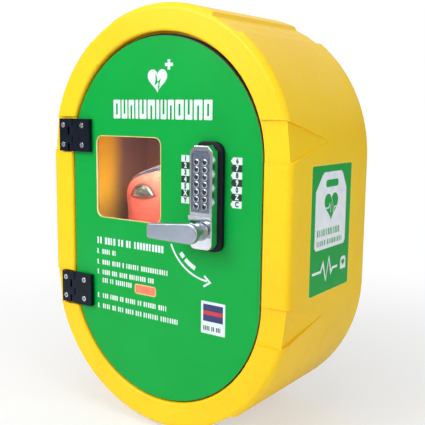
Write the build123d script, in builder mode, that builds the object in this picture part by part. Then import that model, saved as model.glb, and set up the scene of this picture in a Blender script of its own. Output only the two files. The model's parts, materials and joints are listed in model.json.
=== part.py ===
from build123d import *
import math
import os

# Outdoor wall cabinet for a defibrillator, with the defibrillator in its carry case inside.
# Millimetres, +Z up, +X to the right of somebody facing the door, -Y towards that person.
# The origin is the centre of the back face that lies on the wall, and heights in front of
# the wall are called h, so a plane at height h is Plane.XZ.offset(h).

os.makedirs("parts", exist_ok=True)

# ---- body shell ----
DEPTH = 233.0            # wall to the front of the rim
R_BACK = 218.9           # outer radius of the racetrack at the wall
R_FRONT = 215.0          # outer radius at the rim
HALF_STRAIGHT = 93.0     # half length of the straight sides
TAPER = math.degrees(math.atan((R_BACK - R_FRONT) / DEPTH))
WALL = 8.0               # moulded wall
RIM_T = 8.0              # thickness of the rim's front face
RIM_FILLET = 10.0
LIP_R = 172.7            # door opening
LIP_HALF = 96.0
LIP_Z = 0.5
LIP_FILLET = 4.0
RETURN_T = 6.0           # inner return wall round the opening
RETURN_BACK = 208.0
LEDGE_R = 160.0          # door-stop ledge
LEDGE_H0 = 214.0
LEDGE_T = 5.0
CHANNEL_ANGLES = (23.6, 25.2, 37.0, 38.6)   # degrees from vertical about the arc centre
CHANNEL_DEPTH = 4.5
NOTCH_Z0, NOTCH_Z1 = 94.5, 149.5
NOTCH_DEPTH = 3.5
FACET_END_H = 127.0

# ---- door ----
DOOR_R = 170.0
DOOR_HALF = 94.5
DOOR_Z = -1.5
DOOR_T = 3.0
DOOR_H = DEPTH - NOTCH_DEPTH          # front face of the door, flush with the notches
DOOR_BACK = DOOR_H - DOOR_T
WIN_X, WIN_Z, WIN_W, WIN_T, WIN_R = -60.6, 59.5, 124.0, 123.0, 11.0

# ---- hinges ----
HINGE_Z = 121.0          # upper and lower hinge centres at +/- this
HINGE_LEN = 50.0
HINGE_T = 8.0
HINGE_X0, HINGE_X1 = -195.5, -132.0
PIN_X = -171.3
PIN_H = DOOR_H + HINGE_T / 2
PIN_R = 1.6
KNUCKLE_CLEAR_R = 7.2
SCREW_DZ = 15.0
FRAME_SCREW_X, DOOR_SCREW_X = -187.5, -147.5

# ---- lock ----
LOCK_X = 89.0
LOCK_Z0, LOCK_Z1 = -25.5, 114.5
LOCK_W = 36.0
BASE_T = 8.0
BASE_EDGE = 5.0
LOCK_BACK = DOOR_H + BASE_T           # 237.5
LOCK_FRONT = LOCK_BACK + 16.0         # 253.5
LOCK_WALL_IN = LOCK_FRONT - 4.0       # inner side of the front wall
KEY_DX = 6.7
KEY_TOP_Z = 92.3
KEY_PITCH = 9.9
KEY_R = 3.05
KEY_BORE_R = 3.13
BOLT_Z = (106.0, -19.0)
SPINDLE_AF = 7.9

# ---- latch ----
LATCH_THROW = 12.4
FINGER_R = 11.5
FINGER_ANGLE = 32.5
BOLT_TIP_X = 157.0

# ---- interior ----
PLATE_H = WALL + 2.0                  # front of the internal back plate
WALL_BOLT_X, WALL_BOLT_Z = 200.0, 400.0
GROMMET_Z = -262.0
SHELF_Z = -150.0

# ---- defibrillator case ----
CASE_H0, CASE_H1 = 45.0, 174.0
CASE_HALF_W = 126.0
CASE_BOTTOM = -149.8
CASE_SHOULDER = 52.0
CASE_PEAK = 83.0
CASE_WALL = 5.0


def front(h):
    return Plane.XZ.offset(h)


def slot(r, half, z=0.0, mode=Mode.ADD):
    with Locations((0, z)):
        SlotOverall(2 * (half + r), 2 * r, rotation=90, mode=mode)


def polar(h, r, angle, sx, sz):
    a = math.radians(angle)
    return (sx * r * math.sin(a), sz * (HALF_STRAIGHT + r * math.cos(a)))


def outer_r(h):
    return R_BACK - (R_BACK - R_FRONT) * h / DEPTH


# ---------------------------------------------------------------- body shell
with BuildPart() as body_shell:
    with BuildSketch(front(0)):
        slot(R_BACK, HALF_STRAIGHT)
    extrude(amount=DEPTH, taper=TAPER)
    fillet(body_shell.faces().sort_by(Axis.Y)[0].edges(), RIM_FILLET)
    fillet(body_shell.faces().sort_by(Axis.Y)[-1].edges(), 3.0)
    # hollow
    with BuildSketch(front(WALL)):
        slot(outer_r(WALL) - WALL, HALF_STRAIGHT)
    extrude(amount=DEPTH - RIM_T - WALL, taper=TAPER, mode=Mode.SUBTRACT)
    # inner return wall and the ledge the door closes on
    with BuildSketch(front(RETURN_BACK)):
        slot(LIP_R + RETURN_T, LIP_HALF, LIP_Z)
        slot(LIP_R - 2, LIP_HALF, LIP_Z, mode=Mode.SUBTRACT)
    extrude(amount=DEPTH - RIM_T + 1 - RETURN_BACK)
    with BuildSketch(front(LEDGE_H0)):
        slot(LIP_R + 1, LIP_HALF, LIP_Z)
        slot(LEDGE_R, LIP_HALF, LIP_Z, mode=Mode.SUBTRACT)
    extrude(amount=LEDGE_T)
    with BuildSketch(front(LEDGE_H0 + LEDGE_T)):
        slot(LIP_R, LIP_HALF, LIP_Z)
    extrude(amount=DEPTH + 2 - LEDGE_H0 - LEDGE_T, mode=Mode.SUBTRACT)
    with BuildSketch(front(RETURN_BACK - 1)):
        slot(LIP_R, LIP_HALF, LIP_Z)
        slot(LEDGE_R - 20, LIP_HALF, LIP_Z, mode=Mode.SUBTRACT)
    extrude(amount=LEDGE_H0 - RETURN_BACK + 1, mode=Mode.SUBTRACT)
    # rounded inner edge of the rim
    fillet(body_shell.faces().sort_by(Axis.Y)[0].inner_wires()[0].edges(), LIP_FILLET)
    # four long channels beside the top and bottom pads
    for sx in (1, -1):
        for sz in (1, -1):
            a0, a1, a2, a3 = CHANNEL_ANGLES
            for h in (-2.0, DEPTH + 2.0):
                r = outer_r(h)
                pts = [polar(h, r + 6, a0 - 1.6, sx, sz), polar(h, r - CHANNEL_DEPTH, a1, sx, sz),
                       polar(h, r - CHANNEL_DEPTH + 0.4, (a1 + a2) / 2, sx, sz),
                       polar(h, r - CHANNEL_DEPTH, a2, sx, sz), polar(h, r + 6, a3 + 1.6, sx, sz)]
                with BuildSketch(front(h)):
                    with BuildLine():
                        Polyline(*pts, close=True)
                    make_face()
            loft(ruled=True, mode=Mode.SUBTRACT)
    # notches for the hinges in the rim, on both sides so the shell can be hung either way
    for sx in (1, -1):
        for sz in (1, -1):
            with BuildSketch(front(DOOR_H)):
                with Locations((sx * 200, sz * (NOTCH_Z0 + NOTCH_Z1) / 2)):
                    Rectangle(90, NOTCH_Z1 - NOTCH_Z0)
            extrude(amount=10, mode=Mode.SUBTRACT)
            # the notch runs back along the side as a flat facet that ends in a point
            za, zb, zm = sz * NOTCH_Z0, sz * NOTCH_Z1, sz * 121.0
            with BuildSketch(front(DEPTH + 1)):
                with BuildLine():
                    Polyline((sx * 210.1, za), (sx * 240, za), (sx * 240, zb), (sx * 203.6, zb), close=True)
                make_face()
            with BuildSketch(front(FACET_END_H)):
                with BuildLine():
                    Polyline((sx * 215.0, zm - sz * 0.1), (sx * 240, zm - sz * 0.1),
                             (sx * 240, zm + sz * 0.1), (sx * 215.0, zm + sz * 0.1), close=True)
                make_face()
            loft(ruled=True, mode=Mode.SUBTRACT)
    # hinge screw holes in the left notches
    with BuildSketch(front(DEPTH - RIM_T - 1)):
        with Locations(*[(FRAME_SCREW_X, s * HINGE_Z + d * SCREW_DZ) for s in (1, -1) for d in (1, -1)]):
            Circle(2.6)
    extrude(amount=8, mode=Mode.SUBTRACT)
    # wall bolt holes, cable hole
    with BuildSketch(front(-1)):
        with GridLocations(WALL_BOLT_X, WALL_BOLT_Z, 2, 2):
            Circle(4.25)
        with Locations((0, GROMMET_Z)):
            Circle(8.0)
    extrude(amount=WALL + 2, mode=Mode.SUBTRACT)
    # blind screw holes for the internal plate and the shelf
    with BuildSketch(front(2.5)):
        with GridLocations(260, 260, 2, 2):
            Circle(2.0)
        with Locations((80, -130), (-80, -130)):
            Circle(2.0)
    extrude(amount=WALL - 2.0, mode=Mode.SUBTRACT)
    # screw holes for the strike plate in the ledge
    with BuildSketch(front(LEDGE_H0 - 1)):
        with Locations((166, 24), (166, -24)):
            Circle(2.0)
    extrude(amount=LEDGE_T + 2, mode=Mode.SUBTRACT)
body_shell.part.label = "body_shell"
export_step(body_shell.part, "parts/body_shell.step")

# ---------------------------------------------------------------- internal plate and its screws
with BuildPart() as back_plate:
    with BuildSketch(front(WALL)):
        RectangleRounded(300, 480, 60)
        with GridLocations(WALL_BOLT_X, WALL_BOLT_Z, 2, 2):
            Circle(4.5, mode=Mode.SUBTRACT)
        with GridLocations(260, 260, 2, 2):
            Circle(2.0, mode=Mode.SUBTRACT)
        with Locations((80, -130), (-80, -130)):
            Circle(2.0, mode=Mode.SUBTRACT)
    extrude(amount=2.0)
back_plate.part.label = "back_plate"
export_step(back_plate.part, "parts/back_plate.step")

# button-head screws, all alike: 7 mm shank of 4 mm diameter under an 8 mm head.
# The strike plate's pair point the other way along the same axis direction.
plate_screws = [(x, z, PLATE_H, 1) for x in (130, -130) for z in (130, -130)]
plate_screws += [(80, -130, PLATE_H + 2, 1), (-80, -130, PLATE_H + 2, 1)]
plate_screws += [(166, 24, LEDGE_H0 - 2, -1), (166, -24, LEDGE_H0 - 2, -1)]
with BuildPart() as cabinet_screws:
    for x, z, h, s in plate_screws:
        with BuildSketch(front(h)):
            with Locations((x, z)):
                Circle(4.0)
        extrude(amount=s * 2.4)
        with BuildSketch(front(h)):
            with Locations((x, z)):
                Circle(2.0)
        extrude(amount=-s * 7.0)
        with BuildSketch(front(h + s * 2.4)):
            with Locations((x, z)):
                RegularPolygon(1.45, 6)
        extrude(amount=-s * 1.3, mode=Mode.SUBTRACT)
cabinet_screws.part.label = "cabinet_screws"
export_step(cabinet_screws.part, "parts/cabinet_screws.step")

# ---------------------------------------------------------------- door seal
with BuildPart() as door_seal:
    with BuildSketch(front(LEDGE_H0 + LEDGE_T)):
        slot(170.0, LIP_HALF, 0)
        slot(163.0, LIP_HALF, 0, mode=Mode.SUBTRACT)
    extrude(amount=DOOR_BACK - 0.1 - LEDGE_H0 - LEDGE_T)
    fillet(door_seal.faces().sort_by(Axis.Y)[0].edges(), 2.5)
door_seal.part.label = "door_seal"
export_step(door_seal.part, "parts/door_seal.step")

# ---------------------------------------------------------------- shelf
with BuildPart() as shelf:
    with BuildSketch(Plane.YZ.offset(-125)):
        with BuildLine():
            Polyline((-PLATE_H, SHELF_Z - 2), (-178, SHELF_Z - 2), (-178, SHELF_Z + 16), (-176, SHELF_Z + 16),
                     (-176, SHELF_Z), (-PLATE_H - 2, SHELF_Z), (-PLATE_H - 2, SHELF_Z + 40), (-PLATE_H, SHELF_Z + 40), close=True)
        make_face()
    extrude(amount=250)
    # the upright flange is narrower than the tray, and the tray has two slots for the leads
    with BuildSketch(Plane.XZ.offset(PLATE_H - 1)):
        for s in (1, -1):
            with Locations((s * 115, SHELF_Z + 25)):
                Rectangle(30, 50)
    extrude(amount=4, mode=Mode.SUBTRACT)
    with BuildSketch(Plane.XY.offset(SHELF_Z - 3)):
        with Locations((118, -14), (-118, -14)):
            Rectangle(20, 14)
    extrude(amount=4, mode=Mode.SUBTRACT)
    with BuildSketch(front(PLATE_H - 1)):
        with Locations((80, -130), (-80, -130)):
            Circle(2.0)
    extrude(amount=4, mode=Mode.SUBTRACT)
shelf.part.label = "shelf"
export_step(shelf.part, "parts/shelf.step")

# ---------------------------------------------------------------- heater, thermostat, light, supply
with BuildPart() as heater_plate:
    with BuildSketch(front(PLATE_H)):
        with Locations((0, -20)):
            RectangleRounded(160, 130, 6)
    extrude(amount=5)
    fillet(heater_plate.faces().sort_by(Axis.Y)[0].edges(), 1.0)
heater_plate.part.label = "heater_plate"
export_step(heater_plate.part, "parts/heater_plate.step")

with BuildPart() as thermostat:
    with BuildSketch(front(PLATE_H)):
        with Locations((30, 158)):
            RectangleRounded(34, 60, 3)
    extrude(amount=28)
    fillet(thermostat.faces().sort_by(Axis.Y)[0].edges(), 2.0)
    # adjusting dial
    with BuildSketch(front(PLATE_H + 28)):
        with Locations((30, 168)):
            Circle(11)
    extrude(amount=4)
    with BuildSketch(front(PLATE_H + 40)):
        with Locations((30, 168)):
            Rectangle(2, 16)
    extrude(amount=-1.2, mode=Mode.SUBTRACT)
    # vent slots
    with BuildSketch(front(PLATE_H + 28)):
        with Locations(*[(30, 136 + 4.5 * i) for i in range(4)]):
            SlotOverall(22, 2)
    extrude(amount=-3, mode=Mode.SUBTRACT)
thermostat.part.label = "thermostat"
export_step(thermostat.part, "parts/thermostat.step")

with BuildPart() as led_light:
    with BuildSketch(front(PLATE_H)):
        with Locations((0, 222)):
            RectangleRounded(130, 20, 4)
    extrude(amount=9)
    with BuildSketch(front(PLATE_H + 9)):
        with Locations((0, 222)):
            RectangleRounded(120, 13, 6)
    extrude(amount=5)
    fillet(led_light.faces().sort_by(Axis.Y)[0].edges(), 3.0)
led_light.part.label = "led_light"
export_step(led_light.part, "parts/led_light.step")

with BuildPart() as power_supply:
    with BuildSketch(front(PLATE_H)):
        with Locations((0, -209)):
            RectangleRounded(150, 54, 5)
    extrude(amount=6)
    with BuildSketch(front(PLATE_H + 6)):
        with Locations((0, -209)):
            RectangleRounded(144, 48, 5)
    extrude(amount=34)
    fillet(power_supply.faces().sort_by(Axis.Y)[0].edges(), 3.0)
    # cooling ribs along the lid
    with BuildSketch(front(PLATE_H + 40)):
        with Locations(*[(-56 + 8 * i, -209) for i in range(15)]):
            SlotOverall(34, 2.4, rotation=90)
    extrude(amount=-2.0, mode=Mode.SUBTRACT)
power_supply.part.label = "power_supply"
export_step(power_supply.part, "parts/power_supply.step")

with BuildPart() as cable_grommet:
    with BuildSketch(front(0)):
        with Locations((0, GROMMET_Z)):
            Circle(8.0)
    extrude(amount=WALL)
    with BuildSketch(front(WALL)):
        with Locations((0, GROMMET_Z)):
            Circle(12.0)
    extrude(amount=3)
    fillet(cable_grommet.faces().sort_by(Axis.Y)[0].edges(), 1.2)
    with BuildSketch(front(-1)):
        with Locations((0, GROMMET_Z)):
            Circle(5.0)
    extrude(amount=WALL + 6, mode=Mode.SUBTRACT)
cable_grommet.part.label = "cable_grommet"
export_step(cable_grommet.part, "parts/cable_grommet.step")

# leads, each a round cable lying 0.4 mm off the plate
LEAD_R = 2.2
LEAD_H = PLATE_H + LEAD_R + 0.4
leads = [
    [(75.2, -200), (118, -200), (118, 140), (47.2, 140)],          # supply to thermostat
    [(12.8, 145), (-30, 145), (-30, 45.2)],                         # thermostat to heater
    [(30, 188.2), (30, 211.8)],                                    # thermostat to light
]
with BuildPart() as internal_wiring:
    for pts in leads:
        with BuildLine(front(LEAD_H)) as lead_path:
            if len(pts) > 2:
                FilletPolyline(*pts, radius=9)
            else:
                Line(*pts)
        with BuildSketch(Plane(origin=lead_path.line @ 0, z_dir=lead_path.line % 0)):
            Circle(LEAD_R)
        sweep(path=lead_path.line)
internal_wiring.part.label = "internal_wiring"
export_step(internal_wiring.part, "parts/internal_wiring.step")

# ---------------------------------------------------------------- strike plate, reed switch
with BuildPart() as strike_plate:
    with BuildSketch(front(LEDGE_H0 - 2)):
        with Locations((166, 0)):
            RectangleRounded(11, 64, 2)
        with Locations((166, 24), (166, -24)):
            Circle(2.0, mode=Mode.SUBTRACT)
    extrude(amount=2)
strike_plate.part.label = "strike_plate"
export_step(strike_plate.part, "parts/strike_plate.step")

with BuildPart() as reed_switch:
    with BuildSketch(front(LEDGE_H0 - 7)):
        with Locations((166, 68)):
            RectangleRounded(10, 28, 2)
    extrude(amount=7)
    fillet(reed_switch.faces().sort_by(Axis.Y)[-1].edges(), 1.0)
reed_switch.part.label = "reed_switch"
export_step(reed_switch.part, "parts/reed_switch.step")

# ---------------------------------------------------------------- hinges
# Four knuckles share each pin: the first and third from the top belong to the frame half,
# the second and fourth to the door half. Between its own knuckles each half is cut back
# round the pin so the other half's knuckles can turn past it.
SEG = HINGE_LEN / 4


def hinge_half(zc, side):
    """side -1 builds the frame half, +1 the door half, about the hinge centre height zc."""
    own = (0, 2) if side < 0 else (1, 3)
    x_far = HINGE_X0 if side < 0 else HINGE_X1
    x_scr = FRAME_SCREW_X if side < 0 else DOOR_SCREW_X
    with BuildPart() as half:
        with BuildSketch(front(DOOR_H)):
            with Locations(((x_far + PIN_X) / 2, zc)):
                Rectangle(abs(PIN_X - x_far), HINGE_LEN)
        extrude(amount=HINGE_T)
        for k in range(4):
            z_low = zc + HINGE_LEN / 2 - (k + 1) * SEG
            if k in own:
                with BuildSketch(Plane.XY.offset(z_low)):
                    with Locations((PIN_X, -PIN_H)):
                        Circle(HINGE_T / 2)
                extrude(amount=SEG)
            else:
                with BuildSketch(Plane.XY.offset(z_low)):
                    with Locations((PIN_X, -PIN_H)):
                        Circle(KNUCKLE_CLEAR_R)
                extrude(amount=SEG, mode=Mode.SUBTRACT)
        # thin running gaps at the ends of the knuckles
        for k in range(1, 4):
            z_cut = zc + HINGE_LEN / 2 - k * SEG
            with BuildSketch(Plane.XY.offset(z_cut - 0.1)):
                with Locations((PIN_X, -PIN_H)):
                    Circle(KNUCKLE_CLEAR_R)
            extrude(amount=0.2, mode=Mode.SUBTRACT)
        with BuildSketch(Plane.XY.offset(zc - HINGE_LEN / 2 - 1)):
            with Locations((PIN_X, -PIN_H)):
                Circle(PIN_R if side < 0 else PIN_R + 0.05)
        extrude(amount=HINGE_LEN + 2, mode=Mode.SUBTRACT)
        with BuildSketch(front(DOOR_H - 1)):
            with Locations((x_scr, zc + SCREW_DZ), (x_scr, zc - SCREW_DZ)):
                Circle(2.6)
        extrude(amount=HINGE_T + 2, mode=Mode.SUBTRACT)
        with BuildSketch(front(DOOR_H + HINGE_T - 5.2)):
            with Locations((x_scr, zc + SCREW_DZ), (x_scr, zc - SCREW_DZ)):
                Circle(4.6)
        extrude(amount=6, mode=Mode.SUBTRACT)
        far = half.faces().filter_by(Axis.X).sort_by(Axis.X)[0 if side < 0 else -1]
        chamfer(far.edges(), 0.8)
    return half.part


hinge_halves = {(s, side): hinge_half(s * HINGE_Z, side) for s in (1, -1) for side in (1, -1)}

with BuildPart() as hinge_frame_leaves:
    add(hinge_halves[1, -1])
    add(hinge_halves[-1, -1])
hinge_frame_leaves.part.label = "hinge_frame_leaves"
export_step(hinge_frame_leaves.part, "parts/hinge_frame_leaves.step")

with BuildPart() as hinge_door_leaves:
    add(hinge_halves[1, 1])
    add(hinge_halves[-1, 1])
hinge_door_leaves.part.label = "hinge_door_leaves"
export_step(hinge_door_leaves.part, "parts/hinge_door_leaves.step")

with BuildPart() as hinge_pins:
    for s in (1, -1):
        with BuildSketch(Plane.XY.offset(s * HINGE_Z - HINGE_LEN / 2)):
            with Locations((PIN_X, -PIN_H)):
                Circle(PIN_R)
        extrude(amount=HINGE_LEN)
hinge_pins.part.label = "hinge_pins"
export_step(hinge_pins.part, "parts/hinge_pins.step")


def cap_screws(x, plate_back):
    """Socket screws through one column of hinge holes."""
    head_h = DOOR_H + HINGE_T - 5.2
    spots = [(x, s * HINGE_Z + d * SCREW_DZ) for s in (1, -1) for d in (1, -1)]
    with BuildPart() as screws:
        with BuildSketch(front(head_h)):
            with Locations(*spots):
                Circle(4.25)
        extrude(amount=4.8)
        fillet(screws.faces().sort_by(Axis.Y)[0:4].edges(), 0.5)
        with BuildSketch(front(head_h + 4.8)):
            with Locations(*spots):
                RegularPolygon(2.3, 6)
        extrude(amount=-2.8, mode=Mode.SUBTRACT)
        with BuildSketch(front(head_h)):
            with Locations(*spots):
                Circle(2.5)
        extrude(amount=-(head_h - plate_back + 6.0))
    return screws.part


def hex_nuts(x, plate_back):
    """The nuts of those screws, behind the plate they clamp."""
    with BuildPart() as nuts:
        with BuildSketch(front(plate_back)):
            with Locations(*[(x, s * HINGE_Z + d * SCREW_DZ) for s in (1, -1) for d in (1, -1)]):
                RegularPolygon(4.6, 6)
                Circle(2.5, mode=Mode.SUBTRACT)
        extrude(amount=-4.0)
    return nuts.part


frame_bolts = cap_screws(FRAME_SCREW_X, DEPTH - RIM_T)
frame_nuts = hex_nuts(FRAME_SCREW_X, DEPTH - RIM_T)
hinge_frame_screws = Compound(children=list(frame_bolts.solids()) + list(frame_nuts.solids()))
hinge_frame_screws.label = "hinge_frame_screws"
export_step(hinge_frame_screws, "parts/hinge_frame_screws.step")

door_bolts = cap_screws(DOOR_SCREW_X, DOOR_BACK)
door_nuts = hex_nuts(DOOR_SCREW_X, DOOR_BACK)
hinge_door_screws = Compound(children=list(door_bolts.solids()) + list(door_nuts.solids()))
hinge_door_screws.label = "hinge_door_screws"
export_step(hinge_door_screws, "parts/hinge_door_screws.step")

# ---------------------------------------------------------------- door panel and window
with BuildPart() as door_panel:
    with BuildSketch(front(DOOR_BACK)):
        slot(DOOR_R, DOOR_HALF, DOOR_Z)
        with Locations((WIN_X, WIN_Z)):
            RectangleRounded(WIN_W, WIN_T, WIN_R, mode=Mode.SUBTRACT)
        with Locations((LOCK_X, 0)):
            Circle(8.0, mode=Mode.SUBTRACT)
        with Locations(*[(LOCK_X, z) for z in BOLT_Z]):
            Circle(2.75, mode=Mode.SUBTRACT)
        with Locations(*[(DOOR_SCREW_X, s * HINGE_Z + d * SCREW_DZ) for s in (1, -1) for d in (1, -1)]):
            Circle(2.6, mode=Mode.SUBTRACT)
    extrude(amount=DOOR_T)
    fillet(door_panel.faces().sort_by(Axis.Y)[0].outer_wire().edges(), 0.6)
door_panel.part.label = "door_panel"
export_step(door_panel.part, "parts/door_panel.step")

with BuildPart() as window_gasket:
    with BuildSketch(front(DOOR_BACK - 1.1)):
        with Locations((WIN_X, WIN_Z)):
            RectangleRounded(WIN_W + 20, WIN_T + 20, WIN_R + 5)
            RectangleRounded(WIN_W + 1, WIN_T + 1, WIN_R, mode=Mode.SUBTRACT)
    extrude(amount=1.1)
window_gasket.part.label = "window_gasket"
export_step(window_gasket.part, "parts/window_gasket.step")

with BuildPart() as window_pane:
    with BuildSketch(front(DOOR_BACK - 5.1)):
        with Locations((WIN_X, WIN_Z)):
            RectangleRounded(WIN_W + 20, WIN_T + 20, WIN_R + 5)
    extrude(amount=4.0)
    chamfer(window_pane.faces().sort_by(Axis.Y)[-1].edges(), 0.6)
window_pane.part.label = "window_pane"
export_step(window_pane.part, "parts/window_pane.step")

with BuildPart() as door_magnet:
    with BuildSketch(front(DOOR_BACK - 5)):
        with Locations((152, 68)):
            RectangleRounded(8, 24, 1.5)
    extrude(amount=5)
    fillet(door_magnet.faces().sort_by(Axis.Y)[-1].edges(), 0.8)
door_magnet.part.label = "door_magnet"
export_step(door_magnet.part, "parts/door_magnet.step")

# ---------------------------------------------------------------- lock front


def lock_outline(grow, mode=Mode.ADD):
    """Tall plate outline: clipped top corners, round bottom corners."""
    w = LOCK_W / 2 + grow
    z0, z1, c = LOCK_Z0 - grow, LOCK_Z1 + grow, 7.3 + 0.4 * grow
    r = 9.0 + 0.6 * grow
    k = r * (1 - math.sqrt(0.5))
    with BuildLine() as edge:
        Polyline((LOCK_X + w, z0 + r), (LOCK_X + w, z1 - c), (LOCK_X + w - c, z1),
                 (LOCK_X - w + c, z1), (LOCK_X - w, z1 - c), (LOCK_X - w, z0 + r))
        ThreePointArc((LOCK_X - w, z0 + r), (LOCK_X - w + k, z0 + k), (LOCK_X - w + r, z0))
        Line((LOCK_X - w + r, z0), (LOCK_X + w - r, z0))
        ThreePointArc((LOCK_X + w - r, z0), (LOCK_X + w - k, z0 + k), (LOCK_X + w, z0 + r))
    make_face(edge.edges(), mode=mode)


key_spots = [(LOCK_X + s * KEY_DX, KEY_TOP_Z - i * KEY_PITCH) for s in (-1, 1) for i in range(7)]
key_names = ["1", "2", "3", "4", "5", "X", "Y", "6", "7", "8", "9", "0", "Z", "C"]

with BuildPart() as lock_base:
    with BuildSketch(front(DOOR_H)) as base_face:
        lock_outline(BASE_EDGE)
        fillet(base_face.vertices().sort_by(Axis.Y)[-4:], 14)
        with Locations((LOCK_X, 0)):
            Circle(8.0, mode=Mode.SUBTRACT)
        with Locations(*[(LOCK_X, z) for z in BOLT_Z]):
            Circle(2.75, mode=Mode.SUBTRACT)
    extrude(amount=BASE_T)
    fillet(lock_base.faces().sort_by(Axis.Y)[0].outer_wire().edges(), 2.0)
lock_base.part.label = "lock_base"
export_step(lock_base.part, "parts/lock_base.step")

with BuildPart() as lock_body:
    with BuildSketch(front(LOCK_BACK)):
        lock_outline(0.8)
    extrude(amount=LOCK_FRONT - LOCK_BACK, taper=2.5)
    fillet(lock_body.faces().sort_by(Axis.Y)[0].edges(), 1.6)
    # hollow back
    with BuildSketch(front(LOCK_BACK)):
        lock_outline(-2.2)
    extrude(amount=LOCK_WALL_IN - LOCK_BACK, mode=Mode.SUBTRACT)
    # raised band under the keys
    with BuildSketch(front(LOCK_WALL_IN - 3)):
        with Locations((LOCK_X, 17.2)):
            Rectangle(38.6, 6.4)
    extrude(amount=LOCK_FRONT + 2.0 - LOCK_WALL_IN + 3)
    band = [e for e in lock_body.faces().sort_by(Axis.Y)[0].edges()]
    chamfer(band, 0.7)
    # round boss that carries the lever's shank
    with BuildSketch(front(LOCK_WALL_IN - 5)):
        with Locations((LOCK_X, 0)):
            Circle(12.0)
    extrude(amount=6)
    # threaded bosses for the through bolts
    with BuildSketch(front(LOCK_BACK)):
        with Locations(*[(LOCK_X, z) for z in BOLT_Z]):
            Circle(4.4)
    extrude(amount=LOCK_WALL_IN - LOCK_BACK + 1)
    with BuildSketch(front(LOCK_BACK - 1)):
        with Locations(*[(LOCK_X, z) for z in BOLT_Z]):
            Circle(2.5)
    extrude(amount=LOCK_WALL_IN - LOCK_BACK, mode=Mode.SUBTRACT)
    # shank bore
    with BuildSketch(front(LOCK_BACK - 1)):
        with Locations((LOCK_X, 0)):
            Circle(9.06)
    extrude(amount=LOCK_FRONT - LOCK_BACK + 4, mode=Mode.SUBTRACT)
    # sunk key field
    with BuildSketch(front(LOCK_FRONT - 1.0)):
        with BuildLine():
            Polyline((LOCK_X - 15, 25), (LOCK_X + 15, 25), (LOCK_X + 15, 103), (LOCK_X + 10.5, 107.5),
                     (LOCK_X - 10.5, 107.5), (LOCK_X - 15, 103), close=True)
        make_face()
    extrude(amount=2, mode=Mode.SUBTRACT)
    # a shallow dish round every key, then the key bores
    for x, z in key_spots:
        with BuildSketch(front(LOCK_FRONT - 2.0)):
            with Locations((x, z)):
                Circle(KEY_BORE_R)
        with BuildSketch(front(LOCK_FRONT - 1.0)):
            with Locations((x, z)):
                Circle(4.4)
        loft(mode=Mode.SUBTRACT)
    with BuildSketch(front(LOCK_BACK)):
        with Locations(*key_spots):
            Circle(KEY_BORE_R)
    extrude(amount=LOCK_FRONT - LOCK_BACK + 2, mode=Mode.SUBTRACT)
lock_body.part.label = "lock_body"
export_step(lock_body.part, "parts/lock_body.step")

with BuildPart() as code_chamber:
    with BuildSketch(front(LOCK_BACK)):
        with Locations((LOCK_X, 62)):
            RectangleRounded(28, 76, 3)
    extrude(amount=5.4)
    # lengthwise code slide
    with BuildSketch(front(LOCK_BACK + 5.4)):
        with Locations((LOCK_X, 62)):
            SlotOverall(70, 4, rotation=90)
    extrude(amount=-2, mode=Mode.SUBTRACT)
code_chamber.part.label = "code_chamber"
export_step(code_chamber.part, "parts/code_chamber.step")

for (x, z), name in zip(key_spots, key_names):
    with BuildPart() as key:
        with BuildSketch(front(LOCK_WALL_IN - 4.0)):
            with Locations((x, z)):
                Circle(2.2)
        extrude(amount=4.0)
        with BuildSketch(front(LOCK_WALL_IN - 1.9)):
            with Locations((x, z)):
                Circle(4.2)
        extrude(amount=1.8)
        with BuildSketch(front(LOCK_WALL_IN - 0.2)):
            with Locations((x, z)):
                Circle(KEY_R)
        extrude(amount=LOCK_FRONT + 1.2 - LOCK_WALL_IN + 0.2)
        fillet(key.faces().sort_by(Axis.Y)[0].edges(), 0.9)
        with BuildSketch(front(LOCK_FRONT + 1.2)):
            with Locations((x, z)):
                Circle(1.2)
        extrude(amount=-0.8, mode=Mode.SUBTRACT)
    key.part.label = "key_" + name
    export_step(key.part, "parts/key_" + name + ".step")

# ---------------------------------------------------------------- lever and spindle
with BuildPart() as lever_handle:
    # grip: a flat bar that widens from tip to hub, with a round hub end
    with BuildSketch(front(274.5)) as grip_face:
        with BuildLine():
            Polyline((LOCK_X + 2, 14.2), (20.5, 7.9), (20.5, -12.8), (LOCK_X + 2, -13.8))
            ThreePointArc((LOCK_X + 2, -13.8), (LOCK_X + 16.0, 0.2), (LOCK_X + 2, 14.2))
        make_face()
        fillet(grip_face.vertices().sort_by(Axis.X)[:2], 5.0)
    extrude(amount=10.0)
    fillet(lever_handle.faces().sort_by(Axis.Y)[0].edges(), 2.6)
    fillet(lever_handle.faces().sort_by(Axis.Y)[-1].edges(), 2.6)
    # round neck, flared where it meets the lock front
    with BuildSketch(front(LOCK_FRONT + 0.4)):
        with Locations((LOCK_X, 0)):
            Circle(13.2)
    with BuildSketch(front(LOCK_FRONT + 7.0)):
        with Locations((LOCK_X, 0)):
            Circle(11.0)
    loft()
    with BuildSketch(front(LOCK_FRONT + 7.0)):
        with Locations((LOCK_X, 0)):
            Circle(11.0)
    extrude(amount=276.5 - LOCK_FRONT - 7.0)
    # shank in the lock front
    with BuildSketch(front(LOCK_WALL_IN - 4.8)):
        with Locations((LOCK_X, 0)):
            Circle(9.0)
    extrude(amount=12)
    # square socket for the spindle
    with BuildSketch(front(LOCK_WALL_IN - 6)):
        with Locations((LOCK_X, 0)):
            Rectangle(SPINDLE_AF + 0.1, SPINDLE_AF + 0.1)
    extrude(amount=22, mode=Mode.SUBTRACT)
lever_handle.part.label = "lever_handle"
export_step(lever_handle.part, "parts/lever_handle.step")

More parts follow.
